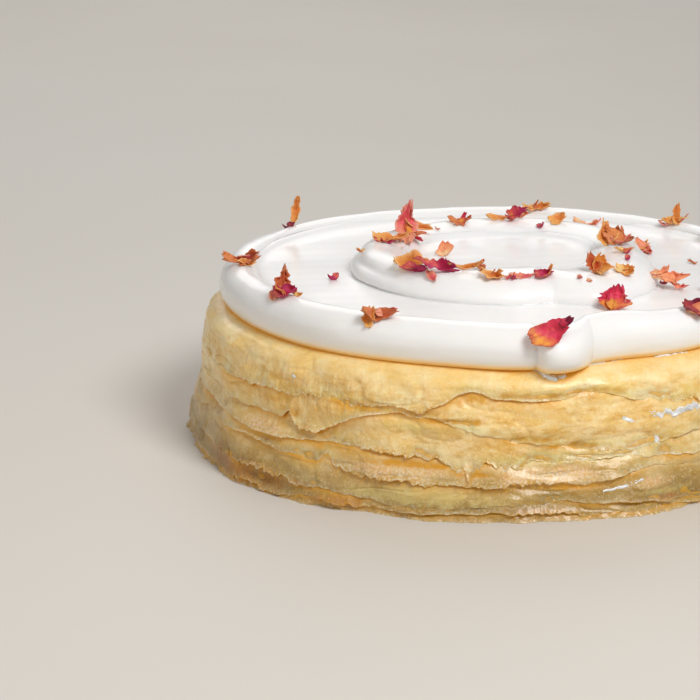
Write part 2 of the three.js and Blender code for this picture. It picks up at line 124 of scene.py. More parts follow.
def curve_through(places: Sequence[float], values: Sequence[float], at: np.ndarray) -> np.ndarray:
    """A smooth curve through a few given values.

    Args:
        places: where the values are given, rising.
        values: the values there.
        at: where the curve is read.

    Returns:
        The curve's value at each place.
    """
    xs, ys = np.array(places, float), np.array(values, float)
    slopes = np.gradient(ys, xs)
    slopes[1:-1] = (ys[2:] - ys[:-2]) / (xs[2:] - xs[:-2])
    at = np.clip(at, xs[0], xs[-1])
    low = np.clip(np.searchsorted(xs, at, side="right") - 1, 0, len(xs) - 2)
    width = xs[low + 1] - xs[low]
    t = (at - xs[low]) / width
    rise = t * t * (3 - 2 * t)
    return (
        ys[low] * (1 - rise)
        + ys[low + 1] * rise
        + width * slopes[low] * t * (1 - t) ** 2
        - width * slopes[low + 1] * t * t * (1 - t)
    )


def cell_value(cells: np.ndarray, seed: int) -> np.ndarray:
    """A repeatable random number for each whole-number cell.

    Args:
        cells: the cells, with x, y and z on the last axis.
        seed: another number gives other values.

    Returns:
        A number from 0 to 1 for each cell.
    """
    x, y, z = (cells[..., axis].astype(np.int64) * factor for axis, factor in enumerate(HASH_AXES))
    mixed = (x + y + z + seed * HASH_FACTOR) & HASH_BITS
    mixed = ((mixed ^ (mixed >> 13)) * HASH_FACTOR) & HASH_BITS
    return ((mixed ^ (mixed >> 16)) & HASH_PART) / HASH_PART


def noise(points: np.ndarray, cell: Any, seed: int = 0) -> np.ndarray:
    """Smooth noise in space.

    Args:
        points: the places, with x, y and z on the last axis.
        cell: the size of one lump, or one size for each axis.
        seed: another number gives another pattern.

    Returns:
        A number from -1 to 1 for each place.
    """
    at = points / np.asarray(cell, float)
    low = np.floor(at)
    part = at - low
    part = part**3 * (part * (6 * part - 15) + 10)
    total = np.zeros(points.shape[:-1])
    for corner in product((0, 1), repeat=3):
        weight = np.prod(np.where(np.array(corner, bool), part, 1 - part), axis=-1)
        total += weight * cell_value(low + np.array(corner), seed)
    return 2 * total - 1


def fractal(points: np.ndarray, cell: Any, octaves: int, seed: int = 0) -> np.ndarray:
    """Noise with finer and finer lumps added.

    Args:
        points: the places, with x, y and z on the last axis.
        cell: the size of the largest lumps, or one size for each axis.
        octaves: how many layers there are, each half the size and half the height.
        seed: another number gives another pattern.

    Returns:
        A number from about -1 to 1 for each place.
    """
    sizes = np.asarray(cell, float)
    layers = [noise(points, sizes / 2**k, seed + k) / 2**k for k in range(octaves)]
    return sum(layers) / (2 - 2.0 ** (1 - octaves))


def ridges(points: np.ndarray, cell: Any, seed: int) -> np.ndarray:
    """Noise folded into sharp ridges, from -1 to 1."""
    return 1 - 2 * np.abs(noise(points, cell, seed))


def ripples(points: np.ndarray, length: float, seed: int, count: int = 9) -> np.ndarray:
    """Smooth swells from crossing waves.

    Args:
        points: the places, with x, y and z on the last axis.
        length: the length of a middling wave.
        seed: picks the waves.
        count: how many waves cross.

    Returns:
        The height of the swell at each place, from about -1 to 1.
    """
    draw = seeded(RIPPLE_SEEDS[0] * seed + RIPPLE_SEEDS[1])
    total = np.zeros(points.shape[:-1])
    for _ in range(count):
        way = np.array([pick((-1, 1), draw) for _ in range(3)])
        way *= 2 * math.pi / (length * pick(RIPPLE_LENGTHS, draw) * np.linalg.norm(way))
        total += np.sin(points @ way + TURN * next(draw))
    return total / math.sqrt(count)


def on_circle(azimuth: np.ndarray, radius: Any, z: Any) -> np.ndarray:
    """Places at a radius and a height, with x, y and z on the last axis."""
    turn = np.radians(azimuth)
    return np.stack(np.broadcast_arrays(radius * np.cos(turn), radius * np.sin(turn), z), axis=-1)


# ---- Meshes --------------------------------------------------------------------------------


def read_points(piece: Piece) -> np.ndarray:
    """Reads a piece's vertices.

    Args:
        piece: the piece.

    Returns:
        A row of x, y and z for each vertex.
    """
    flat = np.empty(len(piece.data.vertices) * 3, np.float32)
    piece.data.vertices.foreach_get("co", flat)
    return flat.reshape(-1, 3).astype(float)


def write_points(piece: Piece, points: np.ndarray) -> None:
    """Moves the piece's vertices to these places, given in millimetres."""
    piece.data.vertices.foreach_set("co", (points * MM).astype(np.float32).ravel())
    piece.data.update()


def write_field(piece: Piece, name: str, values: np.ndarray) -> None:
    """Keeps one number at each vertex, which a material reads by its name."""
    kept = piece.data.attributes.new(name, "FLOAT", "POINT")
    kept.data.foreach_set("value", values.astype(np.float32).ravel())


def activate(piece: Piece) -> None:
    """Makes a piece the only selected one.

    Args:
        piece: the piece.
    """
    bpy.ops.object.select_all(action="DESELECT")
    piece.select_set(True)
    bpy.context.view_layer.objects.active = piece


def named(name: str) -> Piece:
    """Names the primitive just added.

    Args:
        name: the piece's name.

    Returns:
        The piece.
    """
    piece = bpy.context.active_object
    piece.name = piece.data.name = name
    return piece


def flat_grid(name: str, across: int, down: int) -> tuple[Piece, np.ndarray]:
    """Adds a flat grid two metres wide, from which a sheet or a lattice is shaped.

    Args:
        name: the piece's name.
        across: how many faces it has along x.
        down: how many faces it has along y.

    Returns:
        The piece, and the x and y of its vertices, from -1 to 1.
    """
    bpy.ops.object.select_all(action="DESELECT")
    bpy.ops.mesh.primitive_grid_add(x_subdivisions=across, y_subdivisions=down, size=2)
    piece = named(name)
    return piece, read_points(piece)[:, :2]


def thicken(piece: Piece, thick: float, offset: float) -> Piece:
    """Gives a sheet its thickness.

    Args:
        piece: the sheet.
        thick: its thickness.
        offset: 0 keeps the sheet in the middle, and -1 puts the thickness behind it.

    Returns:
        The piece.
    """
    solid = piece.modifiers.new("thickness", "SOLIDIFY")
    solid.thickness = thick * MM
    solid.offset = offset
    activate(piece)
    bpy.ops.object.modifier_apply(modifier=solid.name)
    bpy.ops.object.shade_smooth()
    return piece


def joined(made: Sequence[Piece], name: str) -> Piece:
    """Joins pieces into one.

    Args:
        made: the pieces.
        name: the name of the joined piece.

    Returns:
        The joined piece.
    """
    activate(made[0])
    for other in made[1:]:
        other.select_set(True)
    if len(made) > 1:
        bpy.ops.object.join()
    made[0].name = made[0].data.name = name
    return made[0]


def hand_over(piece: Piece, nodes: Sequence[str], finish: Finish) -> Piece:
    """Gives a finished piece its material, its body and the nodes it stands for.

    Args:
        piece: the finished piece.
        nodes: the frame's nodes that it replaces.
        finish: its material.

    Returns:
        The piece.
    """
    piece.data.materials.clear()
    piece.data.materials.append(finish)
    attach(piece, BODY)
    if nodes:
        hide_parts(*nodes)
    return piece


class Lattice:
    """A grid that is rolled up round the cake, closed at its seams and shaped row by row."""

    def __init__(self, name: str, rows: int, segments: int, ring: bool = False) -> None:
        """Adds the grid.

        Args:
            name: the piece's name.
            rows: how many rows of vertices there are, from the first pole to the last.
            segments: how many vertices a row has.
            ring: whether the last row joins the first instead of both ending in a pole.
        """
        steps = rows if ring else rows - 1
        self.piece, grid = flat_grid(name, segments, steps)
        grid = (grid + 1) / 2
        self.place = np.rint(grid[:, 0] * segments).astype(int) % segments
        row = np.rint((1 - grid[:, 1]) * steps).astype(int)
        self.row = row % rows if ring else row
        self.border = (np.abs(grid - 0.5).max(axis=1) > 0.5 - 1e-6).nonzero()[0]
        self.azimuths = np.arange(segments) * TURN / segments

    def set(self, radius: np.ndarray, z: np.ndarray) -> None:
        """Gives each row its radii and heights."""
        write_points(self.piece, on_circle(self.azimuths, radius, z)[self.row, self.place])

    def keep(self, name: str, values: np.ndarray) -> None:
        """Keeps a number for every vertex, given row by row."""
        write_field(self.piece, name, values[self.row, self.place])

    def close(self) -> Piece:
        """Merges the seams and the poles.

        Returns:
            The closed piece.
        """
        activate(self.piece)
        bpy.ops.object.mode_set(mode="EDIT")
        bpy.ops.mesh.select_all(action="DESELECT")
        bpy.ops.object.mode_set(mode="OBJECT")
        chosen = np.zeros(len(self.piece.data.vertices), bool)
        chosen[self.border] = True
        self.piece.data.vertices.foreach_set("select", chosen)
        bpy.ops.object.mode_set(mode="EDIT")
        bpy.ops.mesh.remove_doubles(threshold=1e-7)
        bpy.ops.object.mode_set(mode="OBJECT")
        bpy.ops.object.shade_smooth()
        return self.piece


# ---- Materials -----------------------------------------------------------------------------

Colour = tuple[float, float, float]


def paint(red: int, green: int, blue: int) -> Colour:
    """A colour given in the 0 to 255 numbers of a screen."""
    shares = (number / 255 for number in (red, green, blue))
    return tuple(c / 12.92 if c <= 0.04045 else ((c + 0.055) / 1.055) ** 2.4 for c in shares)


class Wire:
    """A value that flows through a material, with arithmetic."""

    def __init__(self, sheet: "Sheet", socket: bpy.types.NodeSocket | None) -> None:
        """Keeps the socket that gives the value."""
        self.sheet = sheet
        self.socket = socket

    def _math(self, operation: str, *values: Any) -> "Wire":
        """Adds a Math node."""
        return self.sheet.node("ShaderNodeMath", {"operation": operation}, dict(enumerate(values)))

    def __add__(self, other: Any) -> "Wire":
        """This value plus another."""
        return self._math("ADD", self, other)

    def __sub__(self, other: Any) -> "Wire":
        """This value less another."""
        return self._math("SUBTRACT", self, other)

    def __rsub__(self, other: Any) -> "Wire":
        """Another value less this one."""
        return self._math("SUBTRACT", other, self)

    def __mul__(self, other: Any) -> "Wire":
        """This value times another."""
        return self._math("MULTIPLY", self, other)

    __radd__ = __add__
    __rmul__ = __mul__

    def clamped(self) -> "Wire":
        """This value held between 0 and 1."""
        return self.sheet.node("ShaderNodeClamp", {}, {"Value": self})

    def step(self, low: float, high: float) -> "Wire":
        """A smooth rise from 0 at low to 1 at high."""
        ends = {"Value": self, "From Min": low, "From Max": high}
        return self.sheet.node("ShaderNodeMapRange", {"interpolation_type": "SMOOTHSTEP"}, ends)


class Sheet:
    """One material's node sheet."""

    def __init__(self, name: str) -> None:
        """Starts an empty material.

        Args:
            name: the material's name.
        """
        self.material = bpy.data.materials.new(name)
        self.material.use_nodes = True
        self.tree = self.material.node_tree
        self.tree.nodes.clear()
        self.place = self.node("ShaderNodeTexCoord", {}, {}, "Object")

    def node(self, kind: str, settings: dict[str, Any], inputs: dict[Any, Any], output: Any = 0) -> Wire:
        """Adds a node.

        Args:
            kind: the node's type.
            settings: its settings, which are set first.
            inputs: a value or a wire for each socket, by name or number.
            output: the socket that it gives back, by name or number.

        Returns:
            A wire from that socket.
        """
        made = self.tree.nodes.new(kind)
        for key, value in settings.items():
            setattr(made, key, value)
        for key, value in inputs.items():
            if isinstance(value, Wire):
                self.tree.links.new(value.socket, made.inputs[key])
            else:
                made.inputs[key].default_value = value
        return Wire(self, made.outputs[output] if len(made.outputs) else None)

    def field(self, name: str) -> Wire:
        """A number kept at the vertices."""
        return self.node("ShaderNodeAttribute", {"attribute_name": name}, {}, "Fac")

    def blend(self, low: Any, high: Any, share: Any, kind: str = "MIX") -> Wire:
        """Lays one colour over another.

        Args:
            low: the colour below, as a wire or three numbers.
            high: the colour above, likewise.
            share: how strongly the upper one shows.
            kind: how they are mixed.

        Returns:
            The mixed colour.
        """
        settings = {"data_type": "RGBA", "blend_type": kind}
        below, above = ((*c, 1.0) if isinstance(c, tuple) else c for c in (low, high))
        return self.node("ShaderNodeMix", settings, {0: share, 6: below, 7: above}, 2)

    def layers(self, colour: Any, over: Sequence[tuple[Any, Any]]) -> Wire:
        """Lays several colours over a first one.

        Args:
            colour: the first colour, as a wire or three numbers.
            over: the colours to lay over it, from the lowest, each with how strongly it shows.

        Returns:
            The colour that they make.
        """
        for paint_over, share in over:
            colour = self.blend(colour, paint_over, share)
        return colour

    def bump(self, height: Wire, depth: float, below: Wire | None = None) -> Wire:
        """The normal over a relief.

        Args:
            height: the relief, from 0 to 1.
            depth: how deep it is.
            below: a normal to add it to.

        Returns:
            The normal.
        """
        values = {"Height": height, "Distance": depth * MM, "Strength": 1.0}
        if below is not None:
            values["Normal"] = below
        return self.node("ShaderNodeBump", {}, values, "Normal")

    def finish(self, **inputs: Any) -> Finish:
        """Adds the shader.

        Args:
            inputs: a value or a wire for each socket, with underscores for spaces.

        Returns:
            The material.
        """
        spaced = {key.replace("_", " "): value for key, value in inputs.items()}
        shader = self.node("ShaderNodeBsdfPrincipled", {"subsurface_method": "RANDOM_WALK"}, spaced)
        self.node("ShaderNodeOutputMaterial", {}, {"Surface": shader})
        return self.material


@dataclass(frozen=True)
class Cloud:
    """Noise in a finish: the size of its lumps, how many finer layers it has and how strong those
    are, how it is stretched along each axis, and where its soft border begins and ends."""

    size: float
    detail: float = 3
    roughness: float = 0.6
    stretch: tuple[float, float, float] = (1, 1, 1)
    border: Range | None = None

    def on(self, sheet: Sheet) -> Wire:
        """Adds the noise to a sheet.

        Args:
            sheet: the material's sheet.

        Returns:
            The noise, from 0 to 1.
        """
        scale = tuple(1 / along for along in self.stretch)
        at = sheet.node("ShaderNodeMapping", {}, {"Vector": sheet.place, "Scale": scale})
        sizes = {"Scale": 1 / (self.size * MM), "Detail": self.detail, "Roughness": self.roughness}
        flow = sheet.node("ShaderNodeTexNoise", {}, {"Vector": at, **sizes}, "Fac")
        return flow.step(*self.border) if self.border else flow


@dataclass(frozen=True)
class CrepeFinish:
    """Moist egg-yellow crepe, with painted amber shade and a faint painted glow under the hems and
    the ring, paler along the hems, with blushed, lemon and browned places."""

    body: Colour = paint(246, 208, 128)
    pale: Colour = paint(254, 232, 180)
    deep: Colour = paint(226, 172, 66)
    # amber is a painted shade colour: under the hems and the ring, in troughs and in lace holes, and as a
    # painted glow.
    amber: Colour = paint(214, 150, 14)
    edge: Colour = paint(252, 236, 202)
    blush: Colour = paint(242, 200, 158)
    oil: Colour = paint(214, 158, 42)
    lemon: Colour = paint(236, 216, 138)
    brown: Colour = paint(164, 90, 16)
    # foot darkens the lower side: partly the wet, browned foot, partly painted shade towards the bottom.
    foot: Colour = paint(138, 106, 32)
    patches: Cloud = Cloud(11, 3, 0.55, (1, 1, 0.6), (0.34, 0.68))
    clouds: Cloud = Cloud(3.2, 4, border=(0.33, 0.7))
    milk: Cloud = Cloud(3.4, 4, 0.62, (1.8, 1.8, 0.7), (0.5, 0.66))
    oily: Cloud = Cloud(4.6, 4, 0.62, (1.8, 1.8, 0.6), (0.5, 0.68))
    fibres: Cloud = Cloud(1.0, stretch=(1, 1, 7), border=(0.4, 0.7))
    web: Cloud = Cloud(0.8, border=(0.4, 0.6))
    pores: Cloud = Cloud(0.7)
    stain_and_shade_border: Range = (0.15, 0.85)
    spot_border: Range = (0.56, 0.7)
    lace_border: Range = (0.2, 0.8)
    pore_border: Range = (0.3, 0.7)
    pore_depth: float = 0.13
    cloud_depth: float = 0.16

    def material(self) -> Finish:
        """Makes the material.

        Returns:
            The finish as a material.
        """
        sheet = Sheet("crepe")
        patches, clouds, milk, oily = (c.on(sheet) for c in (self.patches, self.clouds, self.milk, self.oily))
        fibres, web, pores = (c.on(sheet) for c in (self.fibres, self.web, self.pores))
        edge, shade, low, blushed = (sheet.field(name) for name in ("edge", "shade", "low", "blush"))
        lively = 1 - sheet.field("calm") * 0.65
        torn = (patches - 0.5) * 0.5 + (clouds - 0.5) * 0.7

        def stain_and_shade(name: str) -> Wire:
            """Where a tinted place lies, with torn borders: a stained one, or for amber one of painted shade.
            """
            return (sheet.field(name) * (1.0 + torn)).step(*self.stain_and_shade_border)

        spots = (pores + blushed * 0.12 + edge * 0.1).step(*self.spot_border)
        # Painted shade in the torn lace: the holes are not cut but painted amber, like the shaded crepe under
        # them.
        painted_shade_holes = (1 - web) * sheet.field("lace").step(*self.lace_border)
        lacy = sheet.blend(self.deep, self.blush, web * 0.75 + 0.25)
        hem = sheet.blend(self.deep, self.edge, web * 0.8 + 0.2)
        colour = sheet.layers(
            self.body,
            (
                (self.pale, patches * 0.75),
                (self.deep, clouds * lively * 0.5),
                (self.oil, oily * lively * 0.6),
                (self.pale, milk * lively * 0.5),
                # Darker towards the foot: partly wet crepe, partly painted shade.
                (self.foot, low * (0.95 - patches * 0.35)),
                (self.lemon, stain_and_shade("lemon") * 0.65),
                (lacy, stain_and_shade("blush") * 0.85),
                (self.brown, stain_and_shade("brown") * (0.68 + fibres * 0.3)),
                (self.deep, fibres * sheet.field("fibre") * 0.9),
                (self.edge, spots * 0.4),
                # Painted amber shade in the troughs and under the hems.
                (self.amber, stain_and_shade("amber") * 0.95),
                # Painted amber shade under the hems, under the ring and on the hidden inner faces.
                (self.amber, shade * 0.9),
                (hem, edge * (0.45 + clouds * 0.45)),
                (self.amber, painted_shade_holes * 0.6),
                # More painted shade and wetness at the very foot.
                (self.foot, low * low * 0.32),
            ),
        )
        return sheet.finish(
            Base_Color=colour,
            Roughness=pores.step(*self.pore_border) * 0.22 + 0.3,
            Normal=sheet.bump(pores, self.pore_depth, sheet.bump(clouds, self.cloud_depth)),
            # A painted amber glow where the crepe lies in shade, though nothing there is a lamp.
            Emission_Color=sheet.blend((0, 0, 0), self.amber, shade),
            Emission_Strength=0.14,
            Subsurface_Weight=0.35,
            Subsurface_Radius=(1.0, 0.6, 0.3),
            Subsurface_Scale=0.002,
            Coat_Weight=0.3,
            Coat_Roughness=0.14,
        )


@dataclass(frozen=True)
class CreamFinish:
    """Smooth white cream with a soft gloss, with a painted warm bounce light and a faint painted glow
    low on the rings, where they stand on the crepe.
    """

    body: Colour = paint(244, 244, 243)
    warm: Colour = paint(245, 241, 237)
    # Painted light: the warm bounce from the crepe low on the ring, and a glow though nothing there is a
    # lamp.
    soaked: Colour = paint(240, 200, 124)
    glow: Colour = paint(228, 176, 40)
    clouds: Cloud = Cloud(40, 1, 0.4)

    def material(self) -> Finish:
        """Makes the material.

        Returns:
            The finish as a material.
        """
        sheet = Sheet("cream")
        soaked = sheet.field("soaked")
        over = ((self.warm, self.clouds.on(sheet) * 0.6), (self.soaked, soaked * 0.9))
        return sheet.finish(
            Base_Color=sheet.layers(self.body, over),
            Roughness=0.25,
            # Painted glow in the band of painted warm bounce light.
            Emission_Color=sheet.blend((0, 0, 0), self.glow, soaked),
            Emission_Strength=0.1,
            Subsurface_Weight=0.35,
            Subsurface_Radius=(1.0, 0.82, 0.68),
            Subsurface_Scale=0.003,
            Coat_Weight=0.08,
            Coat_Roughness=0.1,
        )


TIP_BLOTCH = 0.45
TIP_BORDER = (0.08, 0.6)
RIM_BLOTCH = 0.3
RIM_BORDER = (0.6, 1.1)
RIM_SHARE = 0.7


class Petal(Enum):
    """The kinds of dried petal, each with its colour at the base, at the tip and along the rim."""

    BROWN = (paint(226, 138, 74), paint(192, 88, 46), paint(212, 132, 84))
    OCHRE = (paint(240, 168, 84), paint(222, 128, 50), paint(248, 196, 128))
    MAGENTA = (paint(230, 112, 84), paint(196, 40, 96), paint(150, 20, 66))
    CRIMSON = (paint(248, 164, 60), paint(222, 50, 84), paint(176, 24, 66))
    PINK = (paint(244, 158, 122), paint(226, 88, 96), paint(244, 178, 150))
    PEACH = (paint(252, 206, 158), paint(246, 158, 110), paint(232, 116, 84))
    YELLOW = (paint(250, 210, 136), paint(238, 162, 70), paint(226, 136, 64))
    DARK = (paint(176, 62, 60), paint(132, 20, 56), paint(96, 12, 40))

    def colours(self, along: np.ndarray, rim: np.ndarray, blotch: np.ndarray) -> np.ndarray:
        """The colour of every vertex of a leaf.

        Args:
            along: how far from base to tip it lies, from 0 to 1.
            rim: how near the rim it lies, from 0 to 1.
            blotch: noise from -1 to 1 that shifts the border between the colours.

        Returns:
            Red, green and blue for each vertex.
        """
        base, tip, edge = (np.array(c) for c in self.value)
        share = smoothstep(along + TIP_BLOTCH * blotch, *TIP_BORDER)[..., None]
        border = (smoothstep(rim + RIM_BLOTCH * blotch, *RIM_BORDER) * RIM_SHARE)[..., None]
        return mix(mix(base, tip, share), edge, border)


@dataclass(frozen=True)
class PetalFinish:
    """Dry, veined petal in the colours kept at its vertices."""

    shadow: Colour = (0.52, 0.416, 0.416)
    mottle: Cloud = Cloud(1.1, 4, 0.65)
    mottle_border: Range = (0.45, 0.8)
    mottle_depth: float = 0.25
    vein_depth: float = 0.12

    def material(self) -> Finish:
        """Makes the material.

        Returns:
            The finish as a material.
        """
        sheet = Sheet("petal")
        tint = sheet.node("ShaderNodeAttribute", {"attribute_name": "tint"}, {}, "Color")
        mottle, veins = self.mottle.on(sheet), sheet.field("vein")
        dark = sheet.blend(tint, self.shadow, 1.0, "MULTIPLY")
        dry = (mottle.step(*self.mottle_border) * 0.4 + veins * 0.32).clamped()
        return sheet.finish(
            Base_Color=sheet.blend(tint, dark, dry),
            Roughness=mottle * 0.25 + 0.42,
            Normal=sheet.bump(mottle, self.mottle_depth, sheet.bump(veins, self.vein_depth)),
            Subsurface_Weight=0.2,
            Subsurface_Radius=(1.0, 0.4, 0.25),
            Subsurface_Scale=0.0012,
        )


# ---- Crepes --------------------------------------------------------------------------------

GAP = 0.35
CAKE_TOP = 42.0
LOWEST_HEM = 1.0
HEM_STEP = 1.6
HEM_BELOW_LEVEL = 2.0


@dataclass(frozen=True)
class Side:
    """The outer side of the stack: its radius at a few heights, and its upright folds, each given
    as (count, depth, turn, lean)."""

    heights: tuple[float, ...] = (0, 5, 10, 14, 18, 22, 27, 32, 36.5, 39.5, 42)
    radii: tuple[float, ...] = (99.6, 99, 98, 97, 95.3, 94.3, 94.7, 94.2, 93.2, 91.8, 87)
    foot_strength: float = 1.4
    top_strength: float = 0.4
    folds: tuple[tuple[float, ...], ...] = (
        (2, 0.7, 20, 0), (3, 0.5, 100, 20), (5, 0.45, 65, -30),
        (9, 0.4, 15, 45), (13, 0.35, 200, -60), (19, 0.3, 310, 80),
    )

    def fold(self, azimuth: np.ndarray, z: np.ndarray) -> np.ndarray:
        """How far the upright folds bring the side out.

        Args:
            azimuth: the azimuths.
            z: the heights.

        Returns:
            The change of the radius.
        """
        strength = mix(self.foot_strength, self.top_strength, z / CAKE_TOP)
        return strength * sum(
            depth * np.sin(np.radians(count * (azimuth - turn) + lean * z / 10))
            for count, depth, turn, lean in self.folds
        )

    def radius(self, azimuth: np.ndarray, z: np.ndarray) -> np.ndarray:
        """The radius of the side."""
        return curve_through(self.heights, self.radii, z) + self.fold(azimuth, z)


@dataclass(frozen=True)
class HemLine:
    """One crepe: its level, its hem's height and slow wave, and what happens along the hem.

    Bends, nicks, frays and lifts are (azimuth, half width, amount). Bends and nicks move the hem
    up or down, frays tear it, and lifts bring it away from the cake.
    """

    level: float
    height: float
    wave: tuple[float, float, float]
    bends: Marks = ()
    nicks: Marks = ()
    frays: Marks = ()
    lifts: Marks = ()


HEM_LINES = (
    HemLine(
        42, 32, (3, 2.5, -83),
        bends=((-103.3, 4.5, -2.9), (-59, 7, -1)),
        nicks=((-95, 4, 2.0), (-71, 4.5, 1.8), (-113, 5, -1.4), (-83, 2.5, -0.5)),
        frays=((-120, 12, 1.5), (-150, 12, 0.8), (-57, 6, 0.8), (-102, 2.5, 0.8)),
        lifts=((-103, 3.2, 1.0), (-82, 4, 0.5)),
    ),
    HemLine(
        38.4, 21.8, (2, 1.0, -161),
        bends=((-105.7, 13, 8.4), (-126, 4, -2.4), (-67, 8, -3)),
        nicks=((-130, 1.3, 3.4), (-123, 3.4, -1.3)),
        frays=((-126, 5, 0.7), (-75, 6, 0.7), (-69, 2.5, 1.4)),
        lifts=((-123, 4, 1.3), (-130, 2, 0.9), (-88, 7, 0.4)),
    ),
    HemLine(
        33.8, 16.9, (2, 1.2, -131),
        bends=((-136, 5, -1.6), (-93, 5, -2.2)),
        nicks=((-96.6, 1.5, -2.0), (-94.4, 0.7, -2.6), (-86, 1.2, -2.2), (-91.8, 1.2, 1.5), (-80, 2, -0.9)),
        frays=((-95, 6, 1.9), (-84, 8, 1.3), (-109, 6, 1.2)),
        lifts=((-136, 6, 1.5), (-95, 5, 0.7), (-110, 5, 0.6)),
    ),
    HemLine(
        27.4, 12.7, (2, 2.2, -166),
        bends=((-107, 9, -0.8), (-62, 6, 2.3)),
        nicks=((-120.2, 1.2, 3.0), (-113.5, 1.4, -0.9), (-101, 1.6, -0.8)),
        frays=((-107, 12, 1.4), (-84, 7, 1.0)),
        lifts=((-110, 9, 0.9), (-72, 5, 0.7)),
    ),
    HemLine(
        20.8, 5.2, (2, 1.4, -151),
        bends=((-107, 13, -1.7), (-81, 7, 2), (-50, 9, -2)),
        frays=((-84, 6, 1.3), (-136, 14, 1.4)),
        lifts=((-60, 12, 0.9), (-132, 8, 0.9)),
    ),
    HemLine(
        13.8, 2.2, (3, 0.7, 159),
        bends=((-123, 4, 1.2), (-75, 8, -0.6)),
        frays=((-117, 7, 0.9), (-80, 9, 1.0), (-140, 10, 1.2)),
        lifts=((-117, 5, 1.6), (-82, 8, 1.3), (-138, 8, 1.2)),
    ),
    HemLine(7.6, 0, (1, 0, 0), lifts=((-100, 9, 0.7), (-70, 14, 0.9), (-140, 9, 0.7))),
)


@dataclass(frozen=True)
class FreeMarks:
    """Marks that lie by chance out of the front: how many each crepe has, the ranges of their
    azimuth, half width and amount, and the seed of their stream."""

    count: int
    at: Range
    width: Range
    amount: Range
    seed: int

    def drawn(self, crepes: int) -> list[list[list[float]]]:
        """Draws the marks.

        Args:
            crepes: how many crepes get some.

        Returns:
            The marks of each crepe.
        """
        draw = seeded(self.seed)
        ranges = (self.at, self.width, self.amount)
        return [[[pick(ends, draw) for ends in ranges] for _ in range(self.count)] for _ in range(crepes)]


STAIN_AND_SHADE_SEED = 90
STAIN_AND_SHADE_RANGES = ((-40, 195), (2, 28), (4, 13), (0.7, 3.2), (0.4, 1))
BROWN_HEIGHTS = (2, 7)


class Tint(Enum):
    """Tinted places of the side, each as (azimuth, height, half width in degrees, half height,
    strength), and how many more lie by chance out of the front. BLUSH, LEMON and BROWN are
    stains; AMBER is painted shade in the troughs and under the hems."""

    BLUSH = (6, (
        (-137, 18.6, 6, 2.4, 1.0), (-108, 12.6, 10, 2.4, 0.9), (-94.5, 13.5, 3, 3.5, 0.6),
        (-81, 12.6, 10, 3.0, 0.9), (-63, 9.0, 8, 1.8, 0.6),
    ))
    LEMON = (7, (
        (-103, 6.4, 16, 3.2, 1.0), (-103, 26.0, 10, 3.2, 0.7), (-85, 17.0, 8, 2.4, 0.9),
        (-127, 11.0, 8, 2.6, 0.5), (-70, 16.5, 8, 1.8, 0.5), (-60, 6.0, 9, 1.2, 0.6),
    ))
    BROWN = (9, (
        (-140, 3.6, 12, 4.0, 1.0), (-117, 2.4, 6, 1.9, 0.9), (-147.5, 7.5, 2.2, 2.6, 0.9),
        (-84, 3.2, 7, 1.3, 0.7), (-64, 4.2, 13, 1.3, 0.7), (-124, 5.6, 3, 1.2, 0.8),
        (-150, 20, 1.6, 2.6, 0.5),
    ))
    # AMBER is painted shade: amber where the troughs and the hollows under the hems lie in shade; the troughs
    # are also dented into the relief.
    AMBER = (12, (
        (-115, 30.2, 7.5, 1.4, 1.0), (-104, 29.8, 6.25, 1.2, 1.0), (-98, 28.0, 6.25, 1.2, 1.0),
        (-129.6, 24.4, 2.25, 2.4, 1.0), (-105, 15.2, 7.5, 1, 1.0), (-84, 35.3, 10, 1.4, 0.8),
        (-72, 36.2, 6.25, 1.4, 0.8), (-95, 34.4, 4.375, 2.4, 0.7), (-84, 23.0, 6.25, 1.4, 0.9),
        (-76, 20.6, 6.25, 1.2, 0.9), (-92.5, 13.4, 3.125, 0.9, 1.0), (-78, 9.4, 7.5, 0.9, 1.0),
        (-137, 15.4, 7.5, 1, 0.9), (-134, 26.6, 7.5, 2.1, 0.5), (-118, 36.2, 8.75, 3.3, 0.4),
        (-121, 17.6, 8.75, 1.5, 0.7), (-58, 27.5, 10, 0.9, 0.6), (-60, 20.6, 7.5, 0.75, 0.6),
    ))

    def strength(self, azimuth: np.ndarray, z: np.ndarray) -> np.ndarray:
        """How strong the stain is.

        Args:
            azimuth: the azimuths.
            z: the heights.

        Returns:
            A strength from 0 to 1 for each place.
        """
        count, given = self.value
        draw = seeded(STAIN_AND_SHADE_SEED + len(self.name) + count)
        turns, heights, *sizes = STAIN_AND_SHADE_RANGES
        ranges = (turns, BROWN_HEIGHTS if self is Tint.BROWN else heights, *sizes)
        free = [[pick(ends, draw) for ends in ranges] for _ in range(count)]
        total = np.zeros(np.broadcast(azimuth, z).shape)
        for at, height, width, tall, amount in [*given, *free]:
            upward = np.exp(-(((z - height) / tall) ** 2))
            total = np.maximum(total, amount * hill(azimuth, at, width) * upward)
        return total


@dataclass(frozen=True)
class Skin:
    """The fine relief of a crepe. Each layer is (depth, size of its lumps or waves), and a layer's
    squeeze makes it flatter in height than it is wide."""

    puff: tuple[float, float] = (0.3, 15)
    puff_squeeze: tuple[float, float, float] = (1, 1, 1.8)
    fold: tuple[float, float] = (0.22, 30)
    fold_squeeze: tuple[float, float, float] = (1, 1, 5)
    wrinkle: tuple[float, Any] = (0.24, (7, 7, 2.8))
    crease: tuple[float, Any] = (0.35, (15, 15, 5))
    crease_sharpness: float = 6
    fine: tuple[float, Any] = (0.03, 1.4)
    upright: tuple[float, Any] = (0.28, (1.5, 1.5, 12))
    frill: tuple[float, float] = (0.34, 2.6)
    lowest_frill: float = 1.0
    frill_reach: float = 1.6
    lift_share: float = 0.8
    lift_reach: float = 2.4
    trough: float = 0.5


